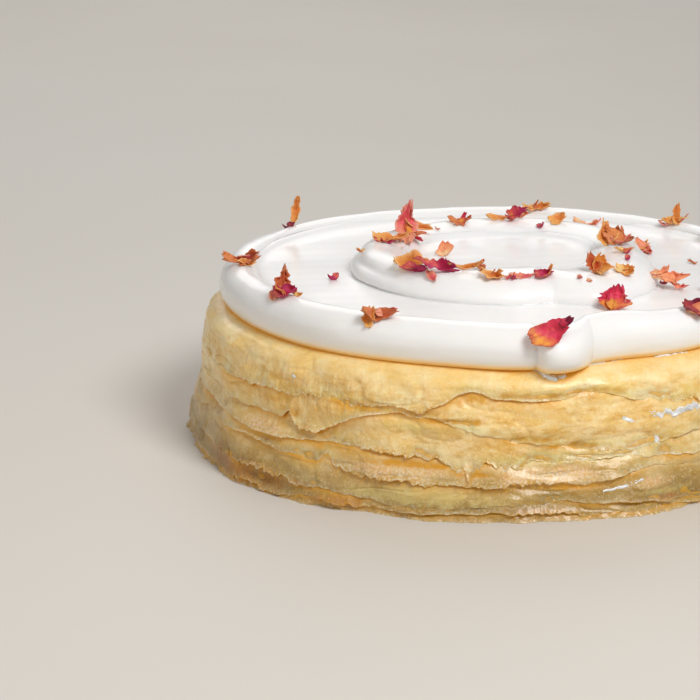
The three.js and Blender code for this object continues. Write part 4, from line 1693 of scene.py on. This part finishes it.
HEADS = (
    Head((-67.9, 50.4), OCHRE, (
        Leaf(9, 3, 60, 74, 20, crumple=0.2),
        Leaf(3.4, 2.2, 200, 10, 0, (-3.2, -1, 0), kind=DARK),
    )),
    Head((-80.3, -11.9), BROWN, (
        Leaf(10.5, 6, 8, 12, 28, curl=0.6, torn=0.4),
        Leaf(6, 3.6, 24, 20, -30, (1.8, 1.0, 0.6), kind=PINK),
        Leaf(6, 2.6, 2, 4, 20, (1.2, -1.8, 0), kind=OCHRE),
    )),
    Head((-65, -50.3), BROWN, (
        Leaf(9, 5.6, 104, 52, 14, torn=0.35, crumple=0.5),
        Leaf(7, 5, 12, 4, 24, (1.2, -2.6, 0), curl=0.8, kind=MAGENTA),
        Leaf(5, 3.4, 80, 40, -20, (-1.4, -0.6, 0), kind=PINK, torn=0.4),
        Leaf(5, 3, 150, 40, 20, (1.6, 0.6, 0.6), kind=OCHRE),
        Leaf(3, 1.4, -16, 6, 20, (5.2, -2.4, 0), kind=YELLOW),
    )),
    Head((-34.5, -77.2), BROWN, (
        Leaf(10.8, 4.4, 2, -3, 26, curl=0.5, bend=0.05, crumple=0.4, torn=0.14),
        Leaf(6.2, 3.8, 84, 48, 0, (-2.8, 0.2, 0), kind=OCHRE),
        Leaf(6, 2.6, 14, 6, 40, (2, 0.4, 0.8), kind=PINK),
    )),
    Head((-34.4, 3.6), BROWN, (
        Leaf(10.5, 3.6, 12, 8, 26, curl=0.5, kind=OCHRE, crumple=0.4),
        Leaf(4, 2.8, 190, 8, 10, (-3.2, -1.4, 0), kind=CRIMSON),
        Leaf(5, 2.6, -30, 4, 20, (-0.6, -2.2, 0), kind=MAGENTA),
        Leaf(5.5, 2.4, 40, 20, 10, (1.8, 1.6, 0), kind=BROWN),
    )),
    Head((-30.2, 13.8), PINK, (
        Leaf(13.4, 7.2, 98, 66, 8, torn=0.28, crumple=0.45),
        Leaf(9, 3.2, 28, -22, 30, (3.4, 2.6, 1.6), kind=OCHRE, torn=0.4),
        Leaf(8, 2.6, -34, -28, -12, (2.2, -2.4, 0.6), kind=CRIMSON),
        Leaf(9, 2.6, -52, 14, 10, (4.2, -3.6, 0), kind=PEACH),
        Leaf(7, 3, 120, 60, 10, (0.8, 0.6, 0), kind=BROWN, torn=0.4),
    )),
    Head((-26.5, -31.9), MAGENTA, (
        Leaf(11, 5.8, -20, 4, 16, curl=0.3, kind=OCHRE, crumple=0.36, torn=0.24),
        Leaf(13, 4.8, -6, -4, 36, (7.5, -5.2, 0), torn=0.36),
        Leaf(10, 1.6, 4, 3, 20, (16.4, -5.6, 0.3), kind=OCHRE, crumple=0.2),
        Leaf(8, 3, -12, 2, 20, (0.6, -2.8, 0), kind=MAGENTA),
        Leaf(4, 3.4, 60, 8, 20, (20.6, -4.6, 0), kind=BROWN, torn=0.6),
        Leaf(5, 2.4, -60, -20, 10, (6.4, -8.0, 0), kind=PINK, torn=0.4),
    )),
    Head((-17.1, 1.6), PEACH, (Leaf(5.2, 5.6, 92, 46, 0, curl=0.2, torn=0.1, crumple=0.18),)),
    Head((-12.6, 31.5), BROWN, (
        Leaf(6.8, 4.4, 16, 14, 30, torn=0.3),
        Leaf(4, 2.4, 60, 30, 0, (1, 0.8, 0), kind=CRIMSON),
    )),
    Head((2.5, 35.7), MAGENTA, (
        Leaf(8, 2.8, 10, 6, 22, (-2.4, 0, 0.3), kind=OCHRE),
        Leaf(7, 4.6, -8, 8, 34, (3.6, 0, 0), curl=0.7),
        Leaf(4.5, 2.6, -20, 14, 20, (5.2, 0.6, 0.8), kind=PEACH),
    )),
    Head((13, 78.2), OCHRE, (
        Leaf(8.4, 3.6, -6, 10, 30, torn=0.35),
        Leaf(4.5, 2.2, 30, 24, 10, (-1, 0.4, 0.4), kind=BROWN),
    )),
    Head((19.3, 34.1), OCHRE, (Leaf(5.4, 4.8, 20, 20, 20),)),
    Head((29.7, 67.3), PEACH, (
        Leaf(8.2, 3.2, -22, 6, 24),
        Leaf(4, 3.4, -30, 10, 10, (3.6, -1.4, 0), kind=PINK),
    )),
    Head((36.4, 3.8), BROWN, (
        Leaf(7.4, 6, 112, 42, 0, (-2.8, 0.8, 0), kind=OCHRE, crumple=0.55, torn=0.4),
        Leaf(9.5, 5, -32, 6, 34, (2.4, -1.2, 0.3), crumple=0.45, torn=0.3),
        Leaf(6, 3.4, 80, 60, 10, (1.2, 1.2, 0), kind=BROWN, torn=0.4),
        Leaf(6.5, 3, -12, 14, -20, (2.2, -2.8, 0.2), kind=PINK),
    )),
    Head((46.9, 27.7), PINK, (
        Leaf(7, 4.4, -50, -16, 20, curl=0.4, torn=0.5),
        Leaf(4.5, 2.4, 40, 40, 0, (0.6, 1.2, 0.4), kind=OCHRE, torn=0.5),
        Leaf(4, 2, -80, 6, 0, (1.4, -1.8, 0), kind=PEACH),
    )),
    Head((30.4, -32.6), BROWN, (
        Leaf(7.6, 5.6, 100, 44, 14, curl=0.8, kind=YELLOW),
        Leaf(6.6, 4.6, 130, 40, -30, (-1.6, -0.4, 0), kind=BROWN, curl=0.5),
    )),
    Head((39.2, -8.3), YELLOW, (
        Leaf(5.4, 3.4, 10, 8, 16),
        Leaf(3.4, 2.4, -60, 10, 10, (1.2, -2.0, 0), kind=MAGENTA),
    )),
    Head((38.5, -31.1), YELLOW, (
        Leaf(6, 4, -30, 4, 24, curl=0.6),
        Leaf(3.4, 2.2, 20, 30, 0, (1.4, 0.8, 0.4), kind=OCHRE),
    )),
    Head((34.7, -48.4), CRIMSON, (
        Leaf(9.2, 8.6, 86, 56, 6, curl=0.2, torn=0.26, crumple=0.3),
        Leaf(5.4, 4.4, 140, 40, 20, (-2.0, -0.4, 0), torn=0.3),
        Leaf(5.4, 4, 40, 40, -10, (2.4, -0.4, 0), kind=PINK, torn=0.3),
        Leaf(4.2, 3.4, 90, 16, 10, (-0.8, -2.2, 0), kind=YELLOW),
    )),
    Head((14.5, -91.7), CRIMSON, (
        Leaf(11.6, 7.6, 8, 24, 50, curl=0.14, bend=0.03, twist=6, torn=0.08, crumple=0.12),
        Leaf(4.2, 3, 50, 30, 40, (4.4, 1.6, 2.2), kind=DARK, curl=0.7),
    )),
    Head((52.5, -23.1), PEACH, (
        Leaf(9.6, 5.4, 4, 6, 24, curl=0.4, torn=0.5),
        Leaf(5, 3.6, 50, 20, 0, (-2.4, 1.2, 0), torn=0.4),
        Leaf(5, 3, -20, 12, 10, (3, -0.6, 0.4), kind=PINK, torn=0.5),
        Leaf(2.4, 1.6, 10, 10, 0, (-1.6, 1.4, 0.8), kind=MAGENTA),
    )),
    Head((58.6, 55.7), OCHRE, (
        Leaf(9, 3, -14, 6, 26, torn=0.4),
        Leaf(6.5, 3, 100, 56, 0, (0.6, 0.8, 0), kind=OCHRE),
        Leaf(5, 2, 30, 20, 0, (2.8, 0.4, 0), kind=BROWN),
        Leaf(4.5, 2, 170, 10, 0, (-3, 0, 0), kind=PINK),
    )),
    Head((57.7, -60.1), DARK, (
        Leaf(9.4, 6.4, 40, 4, 48, curl=0.15, torn=0.3),
        Leaf(7, 4, 30, 2, 30, (0.6, -1.4, -0.2), kind=PEACH),
    )),
    Head((-1.6, -42.4), BROWN, (
        Leaf(6.6, 4, -12, 4, 38, curl=0.6, kind=OCHRE),
        Leaf(4, 2.4, 20, 20, 0, (-1, 0.8, 0.6), kind=BROWN),
        Leaf(2.6, 2.2, -70, 6, 0, (4.4, -1.0, 0), kind=PINK),
    )),
    Head((7, -41.6), PINK, (
        Leaf(7.2, 2, 10, 6, 34, torn=0.4),
        Leaf(4.4, 1.8, -84, 4, 10, (-2.4, -1.0, 0), kind=MAGENTA),
    )),
    Head((13.4, -39.3), MAGENTA, (
        Leaf(6, 3.4, 26, 16, 34, curl=0.7),
        Leaf(4.8, 1.8, 50, 34, 0, (1.8, 1.0, 0), kind=OCHRE),
    )),
)
FREE_ON_OUTER = (29, 11, -9, -27)
FREE_ON_POOL = (-20,)
FREE_FROM_RING = 5
FREE_REACH = (-1.6, 1.6)
FREE_SEED = 23
FREE_LEAF = {
    "length": (7, 11),
    "width": (4, 7),
    "heading": (0, 360),
    "pitch": (2, 14),
    "roll": (-24, 24),
    "curl": (0.25, 0.5),
}
FREE_KINDS = (PEACH, BROWN, CRIMSON, OCHRE, PINK)
FREE_EXTRA = (
    Leaf(5, 3, 60, 30, 10, (1.2, 0.6, 0.2), kind=OCHRE, torn=0.4),
    Leaf(4, 2.6, -50, 12, 0, (-1.4, -0.8, 0), kind=PINK, torn=0.4),
)

FLECKS = (
    ((-51.5, -16.3), MAGENTA, 4.2), ((62, 13), BROWN, 3.2), ((-69.4, 45), DARK, 3.0),
    ((81.4, -6.8), MAGENTA, 3.0), ((-43.4, -7), OCHRE, 2.8), ((13.8, 30.8), MAGENTA, 3.4),
    ((24.5, -40.6), PINK, 2.8), ((39.9, -18.7), MAGENTA, 2.8), ((-5, -35.5), BROWN, 2.6),
    ((27.5, -42.2), PEACH, 1.9), ((44, 20), OCHRE, 2.0), ((-20, 24), PINK, 1.8),
)
FLECK_SEED = 5
FLECK_WIDTH = (0.5, 0.75)
FLECK_FIRST = 9000


@dataclass
class Petals:
    """The dried petals, resting on the cream."""

    cream: BVHTree
    along: int = 34
    across: int = 22
    thick: float = 0.22
    clearance: float = 0.08
    creases: int = 4
    crease_turns: tuple[float, float, float] = (2.1, 0.7, 3)
    crease_back: float = -0.7
    apart: float = 13.0
    base_width: float = 0.2
    belly: tuple[float, float, float] = (0.06, 0.88, 0.8)
    waver: float = 0.16
    long_cells: tuple[float, float] = (80, 50)
    spike: float = 1.3
    spike_zone: Range = (0.25, 1)
    tooth: float = 1.2
    tooth_reach: float = 0.45
    tip_zone: Range = (0.5, 1)
    base_zone: Range = (0, 0.4)
    base_teeth: float = 0.6
    wave: float = 0.05
    crinkle: float = 0.4
    crinkle_size: float = 2.2
    crease_round: float = 0.02
    crease_spread: float = 0.28
    shrink: float = 0.12
    vein_width: float = 0.09
    rib_counts: tuple[int, int] = (5, 4)
    rib_sharpness: int = 6
    rib_share: float = 0.6
    blotch: float = 2.4
    seed_step: int = 50

    def height(self, x: float, y: float) -> float:
        """The height of the cream under a point."""
        hit = self.cream.ray_cast(Vector((x * MM, y * MM, 1)), Vector((0, 0, -1)))[0]
        return hit.z / MM if hit else CAKE_TOP

    def _crumpled(self, points: np.ndarray, leaf: Leaf, wobble: Sequence[float]) -> np.ndarray:
        """Creases and twists a leaf.

        Args:
            points: its middle surface.
            leaf: its sizes.
            wobble: four phases that turn and shift the creases.

        Returns:
            The creased and twisted surface.
        """
        step, swing, beat = self.crease_turns
        for fold in range(self.creases):
            turn = wobble[2] + fold * step + swing * math.sin(wobble[3] + beat * fold)
            offset = self.crease_spread * leaf.width * math.sin(wobble[3] * (fold + 1) + fold)
            away = points[..., 0] * math.cos(turn) + points[..., 1] * math.sin(turn) - offset
            sign = 1 if fold % 2 else self.crease_back
            points[..., 2] += sign * leaf.crumple * np.sqrt(away**2 + self.crease_round)
        points[..., :2] *= 1 - self.shrink * leaf.crumple
        turn = np.radians(leaf.twist) * (np.linspace(0, 1, self.along + 1)[:, None] - 0.5)
        y, z = points[..., 1].copy(), points[..., 2].copy()
        points[..., 1] = y * np.cos(turn) - z * np.sin(turn)
        points[..., 2] = y * np.sin(turn) + z * np.cos(turn)
        return points

    def leaf_grid(self, leaf: Leaf, wobble: Sequence[float], seed: int) -> np.ndarray:
        """The middle surface of a leaf before it is laid down.

        Args:
            leaf: its sizes.
            wobble: four phases of its waves.
            seed: picks its tears, creases and crinkles.

        Returns:
            A point for each step along and across.
        """
        u, v = self._uv()
        plain = np.stack([u * leaf.length, v * leaf.width / 2, np.full_like(u, seed * self.apart)], axis=-1)
        start, run, fullness = self.belly
        shape = self.base_width + (1 - self.base_width) * np.sin(np.pi * (start + run * u) ** fullness)
        half = (leaf.width / 2) * shape
        rim = smoothstep(np.abs(v), *self.spike_zone)
        long, deep = self.long_cells
        spikes = ridges(plain, (self.spike, long, deep), seed)
        ragged = 1 + self.waver * np.sin(7 * u + wobble[0]) * v + leaf.torn * rim * spikes
        teeth = ridges(plain, (long, self.tooth, deep), seed + 9)
        ends = smoothstep(u, *self.tip_zone) + self.base_teeth * (1 - smoothstep(u, *self.base_zone))
        tip = leaf.torn * leaf.length * self.tooth_reach * teeth * ends * np.sign(u - 0.5)
        lift = leaf.curl * leaf.width * 0.5 * v * v + leaf.bend * leaf.length * (2 * u - 1) ** 2
        wave = self.wave * leaf.length * np.sin(5 * u + 2 * v + wobble[1])
        crinkle = self.crinkle * fractal(plain, self.crinkle_size, 3, seed + 5)
        along = (u - 0.5) * leaf.length + tip
        points = np.stack([along, v * half * ragged, lift + wave + crinkle], axis=-1)
        return self._crumpled(points, leaf, wobble)

    def _uv(self) -> tuple[np.ndarray, np.ndarray]:
        """How far along and across a leaf each of its points lies."""
        along, across = np.linspace(0, 1, self.along + 1), np.linspace(-1, 1, self.across + 1)
        return np.meshgrid(along, across, indexing="ij")

    def laid(self, points: np.ndarray, leaf: Leaf, at: Sequence[float]) -> np.ndarray:
        """Turns a leaf to its attitude and sets it down on the cream.

        Args:
            points: its middle surface.
            leaf: its attitude and shift.
            at: where it lies.

        Returns:
            The surface in its place.
        """
        turn = Matrix.Rotation(math.radians(leaf.heading), 3, "Z")
        turn = turn @ Matrix.Rotation(math.radians(-leaf.pitch), 3, "Y")
        turn = turn @ Matrix.Rotation(math.radians(leaf.roll), 3, "X")
        placed = points @ np.array(turn).T
        placed[..., 0] += at[0] + leaf.shift[0]
        placed[..., 1] += at[1] + leaf.shift[1]
        lift = max(self.height(x, y) - z for x, y, z in placed.reshape(-1, 3))
        placed[..., 2] += lift + self.clearance + leaf.shift[2]
        return placed

    def leaf_piece(self, name: str, points: np.ndarray, kind: Petal, seed: int) -> Piece:
        """Makes a leaf's mesh: a grid shaped to its surface and given its thickness.

        Args:
            name: the piece's name.
            points: the surface in its place.
            kind: its kind, which gives its colours.
            seed: picks where its colours meet.

        Returns:
            The piece.
        """
        piece, grid = flat_grid(name, self.along, self.across)
        i = np.rint((grid[:, 0] + 1) / 2 * self.along).astype(int)
        j = np.rint((grid[:, 1] + 1) / 2 * self.across).astype(int)
        write_points(piece, points[i, j])
        u, v = self._uv()
        out, on = self.rib_counts
        ribs = np.maximum(np.cos((np.abs(v) * out - u * on) * 2 * np.pi), 0) ** self.rib_sharpness
        vein = np.exp(-((v / self.vein_width) ** 2)) + self.rib_share * ribs
        write_field(piece, "vein", np.clip(vein, 0, 1)[i, j])
        rim = np.maximum(np.abs(v), np.abs(2 * u - 1))
        tint = kind.colours(u, rim, fractal(points, self.blotch, 3, seed))
        colours = np.concatenate([tint, np.ones_like(u)[..., None]], -1)[i, j]
        kept = piece.data.attributes.new("tint", "FLOAT_COLOR", "POINT")
        kept.data.foreach_set("color", colours.astype(np.float32).ravel())
        return thicken(piece, self.thick, 0)

    def build(self, number: int, head: Head, draw: Iterator[float], finish: Finish) -> Piece:
        """Makes one petal head.

        Args:
            number: its number, from 1.
            head: its place and leaves.
            draw: the stream that the waves are drawn from.
            finish: its material.

        Returns:
            The piece.
        """
        name = f"rose_petal_{number}"
        made = []
        for k, leaf in enumerate(head.leaves):
            seed = 200 * number + self.seed_step * k
            wobble = [next(draw) * 2 * math.pi for _ in range(4)]
            placed = self.laid(self.leaf_grid(leaf, wobble, seed), leaf, head.at)
            made.append(self.leaf_piece(f"{name}_{k}", placed, leaf.kind or head.kind, seed))
        return hand_over(joined(made, name), [f"petal_{number}"], finish)

    def build_flecks(self, name: str, finish: Finish) -> Piece:
        """Makes the small torn bits that lie by themselves.

        Args:
            name: the piece's name.
            finish: its material.

        Returns:
            The piece.
        """
        draw = seeded(FLECK_SEED)
        made = []
        for k, (at, kind, length) in enumerate(FLECKS):
            width, heading = length * pick(FLECK_WIDTH, draw), pick((0, TURN), draw)
            leaf = Leaf(length, width, heading, pitch=6, roll=10, torn=0.4)
            wobble = [next(draw) * 2 * math.pi for _ in range(4)]
            points = self.leaf_grid(leaf, wobble, FLECK_FIRST + self.seed_step * k)
            made.append(self.leaf_piece(f"{name}_{k}", self.laid(points, leaf, at), kind, k))
        return hand_over(joined(made, name), [], finish)


def free_heads(draw: Iterator[float]) -> list[Head]:
    """The petals on the right, which lie by chance.

    Args:
        draw: the stream that their places and sizes are drawn from.

    Returns:
        The petal heads.
    """
    outer = OuterRing()
    spots = [(outer.radius, azimuth) for azimuth in FREE_ON_OUTER]
    spots += [(outer.radius - outer.half - FREE_FROM_RING, azimuth) for azimuth in FREE_ON_POOL]
    heads = []
    for (radius, azimuth), kind in zip(spots, FREE_KINDS):
        reach = radius + pick(FREE_REACH, draw)
        turn = math.radians(azimuth)
        sizes = {key: pick(ends, draw) for key, ends in FREE_LEAF.items()}
        at = (reach * math.cos(turn), reach * math.sin(turn))
        heads.append(Head(at, kind, (Leaf(**sizes), *FREE_EXTRA)))
    return heads


def tree_over(pieces: Sequence[Piece]) -> BVHTree:
    """One search tree over several pieces, for setting things down on them.

    Args:
        pieces: the pieces.

    Returns:
        The tree, in metres.
    """
    points: list[Vector] = []
    faces: list[tuple[int, ...]] = []
    for piece in pieces:
        start = len(points)
        points.extend(v.co.copy() for v in piece.data.vertices)
        faces.extend(tuple(start + i for i in p.vertices) for p in piece.data.polygons)
    return BVHTree.FromPolygons(points, faces)


# ---- Smears --------------------------------------------------------------------------------


@dataclass(frozen=True)
class Smear:
    """A patch of cream wiped on a crepe: which crepe, where its middle lies, its half sizes, how
    thick it gets, how broken it is, and how steeply it runs up to the right.

    Its middle is given by how far down the crepe's outer face it lies from the ring's foot, or
    from the hem over it.
    """

    crepe: int
    azimuth: float
    down: float
    wide: float
    tall: float
    thick: float = 0.5
    broken: float = 0.6
    slope: float = 0.0


SMEARS = (
    Smear(0, -81.2, 1.5, 3.4, 1.4, 1.1, 0.7),
    Smear(0, -79.4, 1.5, 3.4, 0.9, 0.6, 0.9),
    Smear(0, -67, 1.5, 7.5, 1.2, 0.5, 0.8),
    Smear(0, -70, 2.4, 4, 0.8, 0.4, 0.9),
    Smear(0, -56, 1.0, 12, 0.8, 0.45, 0.8),
    Smear(0, -53, 2.4, 8, 1.0, 0.45, 0.9),
    Smear(0, 3, 1.6, 12, 1.2, 0.5, 0.8),
    Smear(0, 118, 1.6, 9, 1.4, 0.5, 0.8),
    Smear(0, -129.3, 14.2, 0.9, 0.6, 0.5, 0.5),
    Smear(1, -57, 3.6, 9, 1.2, 0.34, 0.7, 0.12),
    Smear(1, -52.5, 2.6, 5, 1.0, 0.4, 0.6, 0.1),
    Smear(1, -66, 6.6, 2.2, 0.7, 0.24, 0.8),
    Smear(1, -60.5, 12.6, 0.9, 1.6, 0.26, 0.8),
    Smear(4, -68, 3.4, 6, 0.5, 0.24, 0.8),
)


@dataclass
class Smears:
    """The thin cream wiped over the crepes' sides."""

    stack: Stack
    step: float = 0.2
    fewest: int = 6
    side_radius: float = 93
    apart: float = 7.0
    lumps: tuple[float, float, float] = (1.4, 0.9, 9)
    lump_height: float = 2.2
    lump_drop: float = 0.25
    dip: float = 0.8
    least_dip: float = 0.02
    sunk: float = 0.35
    back: float = 0.5
    slope_reach: float = 0.3
    first_seed: int = 40

    def _place(self, azimuth: float) -> int:
        """The number of the stack's segment nearest an azimuth."""
        return int(round(azimuth / TURN * self.stack.segments))

    def _column(self, number: int, azimuth: float) -> tuple[np.ndarray, np.ndarray, np.ndarray]:
        """A crepe's outer face at an azimuth.

        Args:
            number: the crepe's place from the top, from 0.
            azimuth: the azimuth.

        Returns:
            How far down each row lies, its radius and its height.
        """
        place = self._place(azimuth) % self.stack.segments
        radius, z = (rows[:, place] for rows in self.stack.outsides[number])
        length = np.concatenate([[0], np.cumsum(np.hypot(np.diff(radius), np.diff(z)))])
        if number == 0:
            start = np.interp(OuterRing().foot(np.array(azimuth)), radius, length)
        else:
            start = np.interp(-self.stack.hems[number - 1][place], -z, length)
        return length - start, radius, z

    def _heights(self, smear: Smear, grid: np.ndarray, seed: int) -> np.ndarray:
        """How far a patch stands off the crepe, or lies sunk in it where it is broken.

        Args:
            smear: the patch.
            grid: its vertices, from -1 to 1 across and down.
            seed: picks its lumps.

        Returns:
            A height for each vertex.
        """
        apart = np.full(len(grid), seed * self.apart)
        plain = np.stack([grid[:, 0] * smear.wide, grid[:, 1] * smear.tall, apart], -1)
        body = 1 - (grid**2).sum(axis=1)
        lumps = fractal(plain, self.lumps, 3, seed) * self.lump_height
        height = smear.thick * np.clip(body + smear.broken * (lumps - self.lump_drop), -1, 1)
        broken = self.dip * height - self.least_dip
        return np.maximum(np.where(height > 0, height, broken), -self.sunk)

    def build_one(self, name: str, smear: Smear, seed: int) -> Piece:
        """Makes one patch: a grid laid on the crepe, thick where the cream is, with a back.

        Args:
            name: the piece's name.
            smear: the patch.
            seed: picks its lumps.

        Returns:
            The piece.
        """
        across, down = (max(int(2 * size / self.step), self.fewest) for size in (smear.wide, smear.tall))
        piece, grid = flat_grid(name, across, down)
        heights = self._heights(smear, grid, seed)
        points = np.zeros((len(grid), 3))
        columns: dict[int, tuple[np.ndarray, np.ndarray, np.ndarray]] = {}
        for k, (s, t) in enumerate(grid):
            azimuth = smear.azimuth + math.degrees(s * smear.wide / self.side_radius)
            key = self._place(azimuth)
            if key not in columns:
                columns[key] = self._column(smear.crepe, azimuth)
            length, radius, z = columns[key]
            place = smear.down - t * smear.tall - smear.slope * s * smear.wide
            ends = (place - self.slope_reach, place + self.slope_reach)
            r0, r1 = np.interp(ends, length, radius)
            z0, z1 = np.interp(ends, length, z)
            out = np.array([z0 - z1, r1 - r0]) / max(math.hypot(z0 - z1, r1 - r0), 1e-6)
            at = np.array([(r0 + r1) / 2, (z0 + z1) / 2]) + out * heights[k]
            points[k] = on_circle(np.array(azimuth), at[0], at[1])
        write_points(piece, points)
        return thicken(piece, self.back, -1)

    def build(self, name: str, finish: Finish) -> Piece:
        """Makes all the patches as one piece.

        Args:
            name: the piece's name.
            finish: its material.

        Returns:
            The piece.
        """
        made = [self.build_one(f"{name}_{k}", smear, self.first_seed + k) for k, smear in enumerate(SMEARS)]
        return hand_over(joined(made, name), [], finish)


# ---- Studio --------------------------------------------------------------------------------


@dataclass(frozen=True)
class Lamp:
    """A soft round lamp: its name, its place and width in metres, its watts and its colour."""

    name: str
    place: tuple[float, float, float]
    size: float
    power: float
    colour: Colour

    def build(self, target: Sequence[float]) -> None:
        """Hangs the lamp.

        Args:
            target: the point that it looks at, in metres.
        """
        lamp = bpy.data.lights.new(self.name, "AREA")
        lamp.shape = "DISK"
        lamp.size = self.size
        lamp.energy = self.power
        lamp.color = self.colour
        holder = bpy.data.objects.new(self.name, lamp)
        holder.location = self.place
        holder.rotation_euler = (Vector(target) - Vector(self.place)).to_track_quat("-Z", "Y").to_euler()
        bpy.context.scene.collection.objects.link(holder)


@dataclass(frozen=True)
class Studio:
    """The camera, the lights and the floor."""

    eye: tuple[float, float, float] = (-1.512, -842.711, 247.671)
    pitch: float = 14.841
    yaw: float = 3.0964
    lens: float = 140.149
    film: float = 36.0
    clip: Range = (0.01, 50.0)
    lamps: tuple[Lamp, ...] = (
        Lamp("key", (0.5, -0.66, 0.92), 0.5, 10.0, (1, 0.995, 0.988)),
        Lamp("fill", (-0.9, -0.9, 0.5), 1.4, 3.3, (1, 0.955, 0.9)),
        Lamp("back", (-0.2, 1.1, 0.9), 1.2, 5.2, (1, 0.985, 0.97)),
    )
    lamp_target: tuple[float, float, float] = (0, 0, 0.03)
    room: Colour = (1, 0.99, 0.98)
    room_strength: float = 0.3
    floor_size: float = 12000.0
    floor_sides: int = 96
    floor_dark: Colour = paint(210, 204, 195)
    floor_light: Colour = paint(216, 211, 203)
    floor_clouds: Cloud = Cloud(180, 2, 0.5)

    def build_camera(self) -> None:
        """Adds the camera."""
        camera = bpy.data.cameras.new("camera")
        camera.lens = self.lens
        camera.sensor_width = self.film
        camera.clip_start, camera.clip_end = self.clip
        holder = bpy.data.objects.new("camera", camera)
        holder.location = Vector(self.eye) * MM
        holder.rotation_euler = Euler((math.radians(90 - self.pitch), 0, math.radians(self.yaw)))
        bpy.context.scene.collection.objects.link(holder)
        bpy.context.scene.camera = holder

    def build_lights(self) -> None:
        """Adds the lamps and the soft light of the room."""
        for lamp in self.lamps:
            lamp.build(self.lamp_target)
        bpy.context.scene.view_settings.view_transform = "Standard"
        world = bpy.data.worlds.new("room")
        world.use_nodes = True
        back = world.node_tree.nodes["Background"]
        back.inputs["Color"].default_value = (*self.room, 1)
        back.inputs["Strength"].default_value = self.room_strength
        bpy.context.scene.world = world

    def build_floor(self) -> None:
        """Adds the plain pale floor."""
        bpy.ops.object.select_all(action="DESELECT")
        radius = self.floor_size / 2 * MM
        bpy.ops.mesh.primitive_circle_add(vertices=self.floor_sides, radius=radius, fill_type="NGON")
        floor = named("floor")
        sheet = Sheet("floor")
        cloud = self.floor_clouds.on(sheet)
        tint = sheet.blend(self.floor_dark, self.floor_light, cloud)
        floor.data.materials.append(sheet.finish(Base_Color=tint, Roughness=cloud * 0.1 + 0.55))


def report(piece: Piece) -> None:
    """Logs a finished piece and how many faces it has."""
    LOG.info("%s: %d faces", piece.name, len(piece.data.polygons))


def main() -> None:
    """Builds the cake and its studio."""
    logging.basicConfig(level=logging.INFO, format="%(message)s")
    studio = Studio()
    studio.build_camera()

    stack = Stack()
    crepe = CrepeFinish().material()
    for number in range(len(HEM_LINES)):
        report(stack.build(number, crepe))

    cream = CreamFinish().material()
    carriers = CreamTop().build(cream)
    for carrier in carriers:
        report(carrier)

    petals = Petals(tree_over(carriers))
    draw = seeded(FREE_SEED)
    petal = PetalFinish().material()
    for number, head in enumerate([*HEADS, *free_heads(draw)], 1):
        report(petals.build(number, head, draw, petal))
    report(petals.build_flecks("rose_flecks", petal))
    report(Smears(stack).build("cream_smears", cream))

    studio.build_lights()
    studio.build_floor()


if __name__ == "__main__":
    main()
